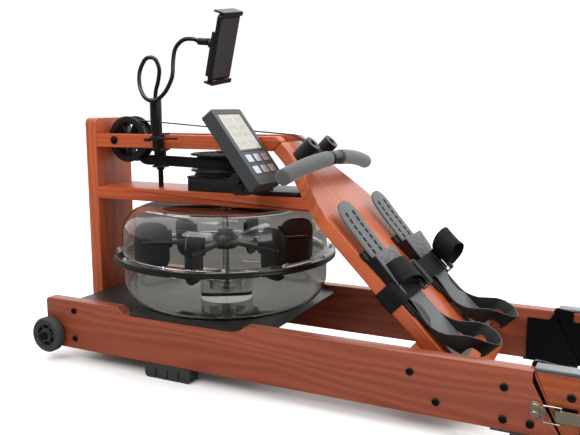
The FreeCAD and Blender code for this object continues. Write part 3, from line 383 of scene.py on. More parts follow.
@dataclass(frozen=True)
class Finish:
    """What a surface is made of: its name, its slot and its shader's plain settings."""

    name: str
    slot: str
    colour: str = "#202020"
    roughness: float = 0.5

    def material(self) -> bpy.types.Material:
        """Builds the material once and hands it out after that."""
        made = bpy.data.materials.get(self.name)
        if made:
            return made
        made = bpy.data.materials.new(self.name)
        made.use_nodes = True
        tree = made.node_tree
        tree.nodes.clear()
        shader = add(tree, "BsdfPrincipled", {"Base Color": linear(self.colour),
                                              "Roughness": self.roughness})
        out = add(tree, "OutputMaterial", {"Surface": shader.outputs[0]})
        out.location = (400, 0)
        made.diffuse_color = linear(self.colour)
        self.dress(tree, shader)
        return made

    def dress(self, tree: bpy.types.NodeTree, shader: bpy.types.Node) -> None:
        """Adds the surface's own pattern; each finish has one."""

    def place(self, tree: bpy.types.NodeTree, scale: tuple[float, float, float],
              turn: tuple[float, float, float] = (0, 0, 0)) -> bpy.types.NodeSocket:
        """Object coordinates, turned and then scaled to features per metre."""
        where = add(tree, "TexCoord").outputs["Object"]
        turned_by = add(tree, "Mapping", {0: where, "Rotation": turn})
        return add(tree, "Mapping", {0: turned_by.outputs[0], "Scale": scale}).outputs[0]

    def relief(self, tree: bpy.types.NodeTree, shader: bpy.types.Node,
               height: bpy.types.NodeSocket, depth: float, strength: float) -> None:
        """Feeds a height pattern of that depth in metres to the shader's normal."""
        bump = add(tree, "Bump", {"Height": height, "Distance": depth, "Strength": strength})
        tree.links.new(bump.outputs[0], shader.inputs["Normal"])

    def uneven_gloss(self, tree: bpy.types.NodeTree, shader: bpy.types.Node,
                     source: bpy.types.NodeSocket, spread: float) -> None:
        """Lets the roughness wander round its mean by that spread."""
        span = add(tree, "MapRange", {0: source, 3: self.roughness - spread,
                                      4: self.roughness + spread})
        tree.links.new(span.outputs[0], shader.inputs["Roughness"])


@dataclass(frozen=True)
class StainedWood(Finish):
    """Beech stained to mahogany under satin lacquer: streaks, arched rings and pores.

    Growth rings are about 9 mm apart on a flat-sawn face, fibres 1 mm, pores 0.3 by 6 mm.
    """

    grain: Grain = Grain.ALONG
    dark: str = "#7A3216"
    middle: str = "#93431F"
    light: str = "#A85429"

    def dress(self, tree: bpy.types.NodeTree, shader: bpy.types.Node) -> None:
        """Rings bent by slow noise, streaks and pores laid along the grain."""
        turn = self.grain.value
        slow = self.place(tree, (1.6, 9.0, 9.0), turn)
        bend = add(tree, "TexNoise", {"Vector": slow, "Scale": 1.0, "Detail": 2.0})
        board = self.place(tree, (0.10, 1.0, 1.0), turn)
        push = add(tree, "VectorMath", {0: bend.outputs["Color"], 1: (0.0, 0.07, 0.07)},
                   operation="MULTIPLY")
        moved = add(tree, "VectorMath", {0: board, 1: push.outputs[0]}, operation="ADD")
        rings = add(tree, "TexWave", {"Vector": moved.outputs[0], "Scale": 26.0,
                                      "Distortion": 1.0, "Detail": 2.0, "Detail Scale": 2.0},
                    wave_type="RINGS", rings_direction="X", wave_profile="SIN")
        streaks = add(tree, "TexNoise", {"Vector": self.place(tree, (7, 330, 330), turn),
                                         "Scale": 1.0, "Detail": 3.0, "Roughness": 0.6})
        pores = add(tree, "TexNoise", {"Vector": self.place(tree, (200, 1300, 1300), turn),
                                       "Scale": 1.0, "Detail": 1.0})
        cloud = add(tree, "TexNoise", {"Vector": self.place(tree, (1.6, 14, 14), turn),
                                       "Scale": 1.0, "Detail": 3.0})
        mixed = add(tree, "Mix", {0: 0.6, 2: rings.outputs["Fac"],
                                  3: streaks.outputs["Fac"]})
        mixed = add(tree, "Mix", {0: 0.45, 2: mixed.outputs[0], 3: cloud.outputs["Fac"]})
        tone = ramp(tree, mixed.outputs[0], [(0.22, self.dark), (0.5, self.middle),
                                             (0.8, self.light)])
        pit = add(tree, "MapRange", {0: pores.outputs["Fac"], 1: 0.54, 2: 0.7})
        pit_share = add(tree, "Math", {0: pit.outputs[0], 1: 0.3}, operation="MULTIPLY")
        colour = add(tree, "Mix", {0: pit_share.outputs[0], 6: tone, 7: linear(self.dark)},
                     data_type="RGBA")
        tree.links.new(colour.outputs[2], shader.inputs["Base Color"])
        self.uneven_gloss(tree, shader, streaks.outputs["Fac"], 0.06)
        self.relief(tree, shader, pit.outputs[0], -0.0002, 0.3)
        shader.inputs["Specular IOR Level"].default_value = 0.35
        shader.inputs["Coat Weight"].default_value = 0.35
        shader.inputs["Coat Roughness"].default_value = 0.25


@dataclass(frozen=True)
class Moulded(Finish):
    """Injection-moulded ABS with a fine spark-eroded grain, drawn 0.8 mm coarse."""

    grit: float = 1300.0
    depth: float = 0.00012

    def dress(self, tree: bpy.types.NodeTree, shader: bpy.types.Node) -> None:
        """Fine grain in the relief and slow wear in colour and gloss."""
        spot = self.place(tree, (self.grit,) * 3)
        fine = add(tree, "TexNoise", {"Vector": spot, "Scale": 1.0, "Detail": 2.0})
        wear = add(tree, "TexNoise", {"Vector": self.place(tree, (14, 14, 14)),
                                      "Scale": 1.0, "Detail": 4.0})
        base = np.array(linear(self.colour))
        shade = add(tree, "Mix", {0: wear.outputs["Fac"], 6: (*(base[:3] * 0.8), 1),
                                  7: (*(base[:3] * 1.25), 1)}, data_type="RGBA")
        tree.links.new(shade.outputs[2], shader.inputs["Base Color"])
        self.relief(tree, shader, fine.outputs["Fac"], self.depth, 0.4)
        self.uneven_gloss(tree, shader, wear.outputs["Fac"], 0.07)


@dataclass(frozen=True)
class Metal(Finish):
    """Bare, plated or powder-coated metal with its fine marks along one way."""

    metallic: float = 1.0
    marks: tuple[float, float, float] = (40.0, 900.0, 900.0)

    def dress(self, tree: bpy.types.NodeTree, shader: bpy.types.Node) -> None:
        """Lines of polish or coating texture in gloss and relief."""
        shader.inputs["Metallic"].default_value = self.metallic
        lines = add(tree, "TexNoise", {"Vector": self.place(tree, self.marks),
                                       "Scale": 1.0, "Detail": 3.0})
        self.uneven_gloss(tree, shader, lines.outputs["Fac"], 0.09)
        self.relief(tree, shader, lines.outputs["Fac"], 0.00008, 0.3)


@dataclass(frozen=True)
class SmokedShell(Finish):
    """Blow-moulded smoky polycarbonate: clear, tinted, with faint flow marks."""

    def dress(self, tree: bpy.types.NodeTree, shader: bpy.types.Node) -> None:
        """Tinted glass with a slow wave in its surface."""
        shader.inputs["Transmission Weight"].default_value = 1.0
        shader.inputs["IOR"].default_value = 1.3
        flow = add(tree, "TexNoise", {"Vector": self.place(tree, (9, 9, 3)), "Scale": 1.0})
        self.relief(tree, shader, flow.outputs["Fac"], 0.0015, 0.25)


@dataclass(frozen=True)
class Foam(Finish):
    """Closed-cell NBR foam with cells about 0.9 mm across and a dusty bloom."""

    def dress(self, tree: bpy.types.NodeTree, shader: bpy.types.Node) -> None:
        """Cells in the relief, mottled colour, soft sheen."""
        cells = add(tree, "TexVoronoi", {"Vector": self.place(tree, (1100,) * 3),
                                         "Scale": 1.0})
        mottle = add(tree, "TexNoise", {"Vector": self.place(tree, (60,) * 3),
                                        "Scale": 1.0, "Detail": 5.0})
        base = np.array(linear(self.colour))
        shade = add(tree, "Mix", {0: mottle.outputs["Fac"], 6: (*(base[:3] * 0.75), 1),
                                  7: (*(base[:3] * 1.3), 1)}, data_type="RGBA")
        tree.links.new(shade.outputs[2], shader.inputs["Base Color"])
        self.relief(tree, shader, cells.outputs["Distance"], 0.0004, 0.5)
        shader.inputs["Sheen Weight"].default_value = 0.25
        shader.inputs["Sheen Roughness"].default_value = 0.5


@dataclass(frozen=True)
class Webbing(Finish):
    """Ribbed polypropylene webbing: cross ribs 2.2 mm apart over yarns 1.6 mm wide."""

    def dress(self, tree: bpy.types.NodeTree, shader: bpy.types.Node) -> None:
        """Ribs and yarns from the strip map, in colour and relief; the colour is darker in the
        grooves as painted shade.
        """
        strip = add(tree, "Attribute", attribute_name="strip").outputs["Vector"]
        parts = add(tree, "SeparateXYZ", {0: strip})
        ribs = add(tree, "Math", {0: parts.outputs[1], 1: 2 * math.pi / 2.2},
                   operation="MULTIPLY")
        ribs = add(tree, "Math", {0: ribs.outputs[0]}, operation="SINE")
        yarns = add(tree, "Math", {0: parts.outputs[0], 1: 2 * math.pi / 1.6},
                    operation="MULTIPLY")
        yarns = add(tree, "Math", {0: yarns.outputs[0]}, operation="SINE")
        weave = add(tree, "Math", {0: ribs.outputs[0], 1: 0.45, 2: yarns.outputs[0]},
                    operation="MULTIPLY_ADD")
        fuzz = add(tree, "TexNoise", {"Vector": self.place(tree, (700,) * 3), "Scale": 1.0,
                                      "Detail": 3.0})
        height = add(tree, "Math", {0: weave.outputs[0], 1: fuzz.outputs["Fac"]},
                     operation="ADD")
        span = add(tree, "MapRange", {0: height.outputs[0], 1: -1.2, 2: 2.2})
        # Painted shade: the colour follows the weave's height, darker in the grooves; the fuzz
        # adds random tone.
        shade = ramp(tree, span.outputs[0], [(0.1, "#020202"), (0.9, "#0D0D0E")])
        tree.links.new(shade, shader.inputs["Base Color"])
        self.relief(tree, shader, span.outputs[0], 0.0006, 0.6)
        shader.inputs["Specular IOR Level"].default_value = 0.25


@dataclass(frozen=True)
class Leather(Finish):
    """Polyurethane skin with a 2 mm pebble grain."""

    def dress(self, tree: bpy.types.NodeTree, shader: bpy.types.Node) -> None:
        """Pebbles from cell distance, creases darker as painted shade."""
        cells = add(tree, "TexVoronoi", {"Vector": self.place(tree, (420,) * 3),
                                         "Scale": 1.0}, feature="F1")
        # Painted shade: darker towards the cell edges, where the grain's creases are sunk.
        shade = ramp(tree, cells.outputs["Distance"], [(0.2, "#1B1B1D"), (0.8, "#0A0A0B")])
        tree.links.new(shade, shader.inputs["Base Color"])
        self.uneven_gloss(tree, shader, cells.outputs["Distance"], 0.08)
        self.relief(tree, shader, cells.outputs["Distance"], -0.0005, 0.5)


@dataclass(frozen=True)
class Display(Finish):
    """A liquid crystal panel behind clear acrylic: pale ground with faint grey bars."""

    def dress(self, tree: bpy.types.NodeTree, shader: bpy.types.Node) -> None:
        """Slow unevenness of the backing sheet under a clear glossy window."""
        haze = add(tree, "TexNoise", {"Vector": self.place(tree, (18, 18, 18)),
                                      "Scale": 1.0, "Detail": 2.0})
        shade = ramp(tree, haze.outputs["Fac"], [(0.3, "#918F82"), (0.75, "#A5A398")])
        tree.links.new(shade, shader.inputs["Base Color"])
        shader.inputs["Coat Weight"].default_value = 0.6
        shader.inputs["Coat Roughness"].default_value = 0.04


LACQUER = 0.42
RAIL_WOOD = StainedWood("flat_sawn_stained_beech_rail", "mahogany", roughness=LACQUER,
                        dark="#6E2E1A", middle="#803A22", light="#944A2E")
REAR_WOOD = StainedWood("flat_sawn_stained_beech_rear_rail", "mahogany", roughness=LACQUER,
                        dark="#6E2C0B", middle="#823812", light="#96471C")
POST_WOOD = StainedWood("stained_beech_post", "mahogany", roughness=LACQUER,
                        grain=Grain.UPRIGHT, middle="#9C4622", light="#AE562E")
TOP_WOOD = StainedWood("stained_beech_upper_rail", "mahogany", roughness=LACQUER,
                       dark="#8A3410", middle="#A24115", light="#B6501C")
CROSS_WOOD = StainedWood("stained_beech_cross_board", "mahogany", roughness=LACQUER,
                         grain=Grain.ACROSS)
FOOT_WOOD = StainedWood("stained_beech_foot_board", "mahogany", roughness=0.36,
                        grain=Grain.SLOPED, dark="#8A3A1A", middle="#A04A24",
                        light="#B25A30")
BLACK_ABS = Moulded("moulded_black_abs", "black_plastic", "#0C0D0E", 0.42)
GLOSS_ABS = Moulded("gloss_black_abs", "black_plastic", "#0B0C0D", 0.2, grit=300,
                    depth=0.00004)
GREY_ABS = Moulded("moulded_charcoal_abs", "grey_plastic", "#2B2E30", 0.45)
SOLE_ABS = Moulded("moulded_grey_nylon", "grey_plastic", "#47494A", 0.48)
# Painted shade: the cup walls and the toe block's side, which lie in shade, are coloured near
# black; the ridge lines and the base plates share this colour.
CUP_ABS_PAINTED_SHADE = Moulded("near_black_nylon_painted_shade", "grey_plastic", "#08090A", 0.4)
STEEL = Metal("black_powder_coated_steel", "black_steel", "#151617", 0.42, metallic=0.0,
              marks=(800.0, 800.0, 800.0))
BOLT = Metal("black_oxide_bolt", "black_steel", "#26282A", 0.35, metallic=0.9,
             marks=(500.0, 500.0, 500.0))
ZINC = Metal("bright_zinc_steel", "zinc_steel", "#C9CACC", 0.25)
ALUMINIUM = Metal("anodised_aluminium_track", "track_aluminium", "#8E9194", 0.36,
                  marks=(6.0, 1500.0, 1500.0))
NICKEL = Metal("warm_nickel_plate", "cream_steel", "#D9CFBC", 0.33)
SMOKE = SmokedShell("smoked_polycarbonate", "smoked_shell", "#DCDDD9", 0.02)
# Painted light: the lid is the bowl's smoked polycarbonate given a paler tint, so that it looks
# more brightly lit than the bowl.
LID_SMOKE_PAINTED_LIGHT = SmokedShell("smoked_polycarbonate_painted_light", "smoked_shell", "#F8F9F7", 0.02)
FOAM = Foam("grey_nbr_foam", "grey_foam", "#36393A", 0.85)
RUBBER = Moulded("black_rubber", "black_rubber", "#0A0A0B", 0.62, grit=700, depth=0.0002)
STRAP = Webbing("ribbed_black_webbing", "black_webbing", "#0B0B0B", 0.75)
SKIN = Leather("black_polyurethane_skin", "seat_cover", "#121213", 0.42)
LCD = Display("lcd_panel", "lcd_glass", "#CBC9BC", 0.25)
KEY = Metal("silvered_key", "silver_key", "#B4B9C6", 0.18, metallic=0.8,
            marks=(200.0, 200.0, 200.0))
GLASS = Moulded("dark_cover_glass", "phone_glass", "#2E2B2A", 0.12, grit=60,
                depth=0.00001)
SEAL = Moulded("black_seal_rubber", "black_rubber", "#0B0B0C", 0.3, grit=500)
IMPELLER = Moulded("black_impeller_nylon", "black_plastic", "#101214", 0.35)
PULLEY_ABS = Moulded("black_pulley_nylon", "black_plastic", "#161718", 0.3)
RED_RUBBER = Moulded("red_silicone_pad", "", "#C2231A", 0.55)
SEGMENT = Moulded("grey_display_segment", "lcd_glass", "#8F8D84", 0.4, grit=200)


# ---- making pieces ----------------------------------------------------------------
def piece(name: str, shell: Shell, finish: Finish, body: str,
          replaces: tuple[str, ...] = (), smooth: float = 38.0) -> bpy.types.Object:
    """Makes one piece of the object and sets it on its body.

    Args:
        name: the piece's name.
        shell: its shape in mm from the rails' front end.
        finish: its surface.
        body: the body that it moves with.
        replaces: the nodes that it stands for.
        smooth: edges sharper than this many degrees stay crisp.
    Returns:
        The new object.
    """
    mesh = bpy.data.meshes.new(name)
    verts = (shell.verts - (X_CENTRE, 0, 0)) / 1000.0
    mesh.from_pydata(verts.tolist(), [], shell.quads.tolist() + [c.tolist() for c in shell.caps])
    if shell.strip is not None and len(shell.strip) == len(verts):
        strip = mesh.attributes.new("strip", "FLOAT_VECTOR", "POINT")
        flat = np.column_stack([shell.strip, np.zeros(len(verts))])
        strip.data.foreach_set("vector", flat.astype(np.float32).ravel())
    tidy(mesh, smooth)
    mesh.materials.append(finish.material())
    made = bpy.data.objects.new(name, mesh)
    bpy.context.scene.collection.objects.link(made)
    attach(made, body)
    if replaces:
        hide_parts(*replaces)
    LOG.info("%s: %d points on %s", name, len(verts), body)
    return made


def tidy(mesh: bpy.types.Mesh, smooth: float) -> None:
    """Merges doubled points, turns faces outwards and keeps edges crisp past an angle."""
    work = bmesh.new()
    work.from_mesh(mesh)
    bmesh.ops.remove_doubles(work, verts=work.verts, dist=2e-6)
    bmesh.ops.dissolve_degenerate(work, edges=work.edges, dist=1e-7)
    bmesh.ops.recalc_face_normals(work, faces=work.faces)
    work.to_mesh(mesh)
    work.free()
    mesh.shade_smooth()
    mesh.set_sharp_from_angle(angle=math.radians(smooth))


def refined(node: str, finish: Finish, edge: float = 0.5, smooth: float = 38.0,
            suffix: str = "skin") -> bpy.types.Object:
    """A merged copy of a node with softened edges, standing for that node.

    Args:
        node: the node's name.
        finish: the copy's surface.
        edge: width of the softened edges in mm, or 0 for none.
        smooth: edges sharper than this many degrees stay crisp.
        suffix: end of the copy's name.
    Returns:
        The new object.
    """
    source = frame["nodes"][node]
    mesh = source.data.copy()
    mesh.name = f"{node}_{suffix}"
    work = bmesh.new()
    work.from_mesh(mesh)
    bmesh.ops.remove_doubles(work, verts=work.verts, dist=1e-6)
    bmesh.ops.dissolve_limit(work, angle_limit=math.radians(0.3), verts=work.verts,
                             edges=work.edges)
    work.to_mesh(mesh)
    work.free()
    mesh.shade_smooth()
    mesh.set_sharp_from_angle(angle=math.radians(smooth))
    mesh.materials.clear()
    mesh.materials.append(finish.material())
    made = bpy.data.objects.new(mesh.name, mesh)
    bpy.context.scene.collection.objects.link(made)
    if edge:
        bevel = made.modifiers.new("soft_edges", "BEVEL")
        bevel.width = edge / 1000.0
        bevel.segments = 2
        bevel.limit_method = "ANGLE"
        bevel.angle_limit = math.radians(smooth)
        bevel.harden_normals = True
    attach(made, source["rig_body"])
    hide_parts(node)
    LOG.info("%s: refined", made.name)
    return made


def dress(node: str, finish: Finish) -> None:
    """Gives a node that is shown as it is its finish."""
    made = frame["nodes"][node]
    made.data.materials.clear()
    made.data.materials.append(finish.material())
    LOG.info("%s: dressed", node)


# ---- wooden frame -----------------------------------------------------------------
@dataclass
class WoodFrame:
    """The stained side rails, the post, the upper frame and the foot board, in mm."""

    foot: float = 30.5
    rail_top: float = 142.5
    rail_in: float = 176.5
    rail_out: float = 203.5
    seam_x: float = 1069.0
    rear_end: float = 2110.0
    tray_low: float = 127.2
    post_half: float = 64.0
    edge: float = 2.0

    def seam(self, offset: float) -> list[tuple[float, float]]:
        """The seam between the rails from top to bottom, moved along x."""
        line = [(self.seam_x, self.rail_top), (self.seam_x, 124.0), (1104.0, 59.0),
                (1119.4, self.foot)]
        return [(x + offset, z) for x, z in line]

    def side_pair(self, outline: Array, edge: float | None = None) -> Shell:
        """Two boards with that side outline, one in each side rail's place."""
        return both(plate(outline, XZ, self.rail_in, self.rail_out, edge or self.edge))

    def front_rails(self) -> None:
        """Side rails with a dip for the tank's tray and a slanted rear end."""
        corners = [(0, self.foot), (0, self.rail_top), (204, self.rail_top),
                   (224, self.tray_low), (504, self.tray_low), (525, self.rail_top)]
        corners += self.seam(0)
        soft = [10, 10, 3, 3, 3, 3, 1, 1, 1, 1]
        piece("front_rails_wood", self.side_pair(rounded(corners, soft)), RAIL_WOOD, "base",
              ("front_rails",))

    def rear_rails(self) -> None:
        """Side rails behind the seam, with rounded upper back corners."""
        corners = self.seam(1.0) + [(self.rear_end, self.foot), (self.rear_end, self.rail_top)]
        soft = [1, 1, 1, 1, 3, 10]
        piece("rear_rails_wood", self.side_pair(rounded(corners, soft)), REAR_WOOD,
              "rear_frame", ("rear_rails",))
        boards = [box(x, (-self.rail_in, self.rail_in), (44.0, 122.0))
                  for x in ((1240.0, 1267.0), (2075.0, 2102.0))]
        piece("rear_cross_boards_wood", join(boards), CROSS_WOOD, "rear_frame",
              ("rear_cross_boards",))

    def post(self) -> None:
        """The front post, with its cross board and the block between them."""
        half = self.post_half
        outline = rounded([(-half, self.foot), (half, self.foot), (half, 547), (-half, 547)],
                          [2, 2, 15, 15], 8)
        piece("front_post_wood", plate(outline, YZ, 13.7, 44.7, self.edge), POST_WOOD, "base",
              ("post_and_cross_boards",))
        cross = box((69, 96), (-self.rail_in, self.rail_in), (34, self.tray_low))
        spacer = box((44.7, 69), (-40, 40), (40, self.tray_low - 6))
        cleat = BOARD.put(slab(rounded([(480, -176.5), (600, -176.5), (600, 176.5),
                                        (480, 176.5)], 2), -57, -28.2, 2))
        piece("cross_boards_wood", join([cross, spacer, cleat]), CROSS_WOOD, "base")

    def upper_frame(self) -> None:
        """Two upper rails and the shelf over the tank."""
        outline = rounded([(44.7, 479.5), (44.7, 510), (523, 510), (531, 504.5), (535, 500),
                           (514.8, 479.5)], 1.5)
        rails = both(plate(outline, XZ, 37.0, self.post_half, 1.6))
        piece("upper_rails_wood", rails, TOP_WOOD, "base", ("top_rails",))
        slope = math.tan(math.radians(44.7))
        face = 537 - 28 / math.sin(math.radians(45.3))
        ends = [face + (500 - z) * slope - 0.2 for z in (357.0, 386.0)]
        outline = rounded([(44.7, 357), (44.7, 386), (ends[1], 386), (ends[0], 357)], 1.5)
        piece("shelf_wood", plate(outline, XZ, -65, 65, 1.8), TOP_WOOD, "base",
              ("shelf_board",))

    def build(self) -> None:
        """Makes every wooden board."""
        self.front_rails()
        self.rear_rails()
        self.post()
        self.upper_frame()
        BOARD.build()


@dataclass
class FootBoard:
    """The sloping board: s runs down it, y across it and n out of its face, in mm."""

    start: tuple[float, float, float] = (537.0, 0.0, 500.0)
    slope: float = math.radians(45.3)
    length: float = 611.0
    thick: float = 28.0
    narrow: float = 66.0
    wide: float = 144.0

    def put(self, shell: Shell) -> Shell:
        """Places a shell that is drawn with columns s, y, n."""
        c, s = math.cos(self.slope), math.sin(self.slope)
        return shell.moved(self.start, np.array([(c, 0, -s), (0, 1, 0), (s, 0, c)]))

    def points(self, local: Array) -> Array:
        """Places bare (s, y, n) points."""
        return self.put(Shell(np.asarray(local, float), np.zeros((0, 4), int))).verts

    def outline(self) -> Array:
        """Half width grows from narrow to wide by the smooth step 3t^2 - 2t^3."""
        s = np.linspace(18, 212, 36)
        t = (s - 18) / 194
        half = self.narrow + (self.wide - self.narrow) * (3 * t ** 2 - 2 * t ** 3)
        right = np.vstack([(0, self.narrow - 3), (3, self.narrow), np.stack([s, half], 1),
                           (self.length - 3, self.wide), (self.length, self.wide - 3)])
        return np.vstack([right, right[::-1] * (1, -1)])

    def build(self) -> None:
        """The board with two slots for the foot straps."""
        board = piece("foot_board_wood", self.put(slab(self.outline(), -28, 0, 3.5, 4)),
                      FOOT_WOOD, "base", ("foot_board",))
        slots = [self.put(slab(rounded([(362, y - 4), (412, y - 4), (412, y + 4),
                                        (362, y + 4)], 4), -40, 10, 1)) for y in (-14, 14)]
        carve(board, join(slots))


def carve(target: bpy.types.Object, tool: Shell) -> None:
    """Cuts a closed shell out of a piece and keeps the result in its mesh."""
    mesh = bpy.data.meshes.new("tool")
    mesh.from_pydata(((tool.verts - (X_CENTRE, 0, 0)) / 1000).tolist(), [],
                     tool.quads.tolist() + [c.tolist() for c in tool.caps])
    tidy(mesh, 38)
    cutter = bpy.data.objects.new("tool", mesh)
    bpy.context.scene.collection.objects.link(cutter)
    cut = target.modifiers.new("cut", "BOOLEAN")
    cut.operation = "DIFFERENCE"
    cut.solver = "EXACT"
    cut.object = cutter
    shaped = bpy.data.meshes.new_from_object(
        target.evaluated_get(bpy.context.evaluated_depsgraph_get()))
    target.modifiers.clear()
    old = target.data
    target.data = shaped
    shaped.name = old.name
    bpy.data.meshes.remove(old)
    bpy.data.objects.remove(cutter)
    bpy.data.meshes.remove(mesh)
    shaped.set_sharp_from_angle(angle=math.radians(38))


BOARD = FootBoard()


# ---- tank -------------------------------------------------------------------------
@dataclass
class Tank:
    """The smoked tank in two shells, its seal and bolts, and the impeller, in mm."""

    x: float = 360.0
    outer: float = 232.0
    rim: float = 250.0
    rim_z: float = 244.0
    wall: float = 4.0
    floor: float = 131.3
    roof: float = 352.0
    bolts: int = 12

    def arc(self, centre: tuple[float, float], radius: float, start: float,
            end: float) -> Array:
        """Twelve steps round an arc of the section between two angles in degrees."""
        angle = np.radians(np.linspace(start, end, 13))
        return np.stack([centre[0] + radius * np.cos(angle),
                         centre[1] + radius * np.sin(angle)], 1)

    def shells(self) -> None:
        """Bowl and lid, each one closed wall with a flanged rim, turned about the shaft."""
        turn = 62.0
        centre = (self.outer - turn, self.floor + turn)
        low = self.rim_z - 3.6
        bowl = np.vstack([(0.5, self.floor), self.arc(centre, turn, -90, 0),
                          (self.outer, low - 5), (self.outer + 2, low - 4),
                          (self.rim - 1, low - 4), (self.rim, low - 3), (self.rim, low - 0.5),
                          (self.rim - 0.6, low), (self.outer - self.wall, low),
                          self.arc(centre, turn - self.wall, 0, -90),
                          (60, self.floor + self.wall), (60, 186), (58, 188), (36, 188),
                          (33.5, 186), (33.5, 160), (20.5, 160), (20, 165), (8.3, 165),
                          (8.3, 151), (0.5, 151)])
        piece("tank_bowl", turned(bowl, self.x, 0, 144), SMOKE, "base", ("tank_lower_shell",))
        turn = 56.0
        centre = (self.outer - turn, self.roof - turn)
        high = self.rim_z + 3.6
        lid = np.vstack([(self.rim - 0.6, high), (self.rim, high + 0.5), (self.rim, high + 3),
                         (self.rim - 1, high + 4), (self.outer + 2, high + 4),
                         (self.outer, high + 5), self.arc(centre, turn, 0, 90),
                         (52, self.roof), (48, self.roof + 1.8), (31, self.roof + 1.8),
                         (30, self.roof + 4.5), (14.5, self.roof + 4.5), (14, self.roof + 4),
                         (14, self.roof - 4), (46, self.roof - 4),
                         self.arc(centre, turn - self.wall, 90, 0), (self.outer - self.wall,
                                                                     high)])
        # The lid takes the paler tint, painted light that makes it look more brightly lit than
        # the bowl.
        piece("tank_lid", turned(lid, self.x, 0, 144), LID_SMOKE_PAINTED_LIGHT, "base", ("tank_upper_shell",))

    def seal(self) -> None:
        """Gasket with two raised lips, and a nut, a washer and a stud at each bolt."""
        r, z = self.rim, self.rim_z
        section = [(r - 18, z - 3), (r - 1, z - 3), (r - 1, z - 6), (r + 2.2, z - 6),
                   (r + 2.8, z - 2), (r + 2.0, z), (r + 2.8, z + 2), (r + 2.2, z + 6),
                   (r - 1, z + 6), (r - 1, z + 3), (r - 18, z + 3)]
        piece("tank_seal", turned(rounded(section, 0.8, 3), self.x, 0, 144), SEAL, "base",
              ("tank_gasket",))
        nut = slab(rounded(list(map(tuple, circle(4.9, 6))), 0.5, 3), 7.7, 11.6, 0.7, 2)
        head = slab(circle(4.6, 20), -11.0, -7.7, 1.0, 3)
        washer = slab(circle(6.0, 24), 7.0, 7.8, 0.2, 1)
        stud = slab(circle(2.4, 14), -9, 13.2, 0.5, 2)
        one = join([nut, head, washer, stud])
        angle = np.arange(self.bolts) * 2 * math.pi / self.bolts
        ring = (self.outer + self.rim) / 2 + 2.5
        spots = np.stack([self.x + ring * np.cos(angle), ring * np.sin(angle),
                          np.full(self.bolts, self.rim_z)], 1)
        piece("tank_nuts", join([one.moved(spot, XY) for spot in spots]), ZINC, "base",
              ("rim_bolts",))

    def impeller(self) -> None:
        """Hub, collar and six arms, each with a round-ended paddle across its end."""
        hub = turned([(8.1, 250), (24, 252), (30, 258), (30, 280), (26, 287), (18, 292),
                      (16, 300), (8.1, 300)], self.x, 0, 64)
        disc = turned([(24, 266), (60, 269), (64, 271), (60, 273), (24, 276)], self.x, 0, 64)
        arm = box((20, 190), (-8, 8), (264, 274), 3)
        paddle = plate(rounded([(128, 205), (206, 205), (206, 318), (128, 318)], 34, 10),
                       XZ, -3, 3, 1.5)
        rib = box((122, 132), (-6, 6), (258, 300), 2)
        vane = join([arm, paddle, rib])
        vanes = []
        for i in range(6):
            c, s = math.cos(math.radians(60 * i - 22)), math.sin(math.radians(60 * i - 22))
            vanes.append(vane.moved((self.x, 0, 0), [(c, s, 0), (-s, c, 0), (0, 0, 1)]))
        piece("impeller_vanes", join([hub, disc] + vanes), IMPELLER, "impeller",
              ("impeller",))
        shaft = straight_tube(7.9, (self.x, 0, 151), (self.x, 0, 477.5), 1.0, 40)
        piece("impeller_rod", shaft, ZINC, "impeller", ("impeller_shaft",))

    def tray(self) -> None:
        """Folded steel plate under the tank with its corners turned."""
        side = [(50, 150), (64, 176.2), (228, 176.2), (236, 203), (492, 203), (500, 176.2),
                (556, 176.2), (566, 150)]
        outline = side + [(x, -y) for x, y in side[::-1]]
        tray = plate(rounded(outline, 5), XY, 127.3, 131.1, 0.8)
        piece("tray_plate", tray, STEEL, "base", ("tank_tray",))

    def build(self) -> None:
        """Makes the tank from the tray up."""
        self.tray()
        self.shells()
        self.seal()
        self.impeller()


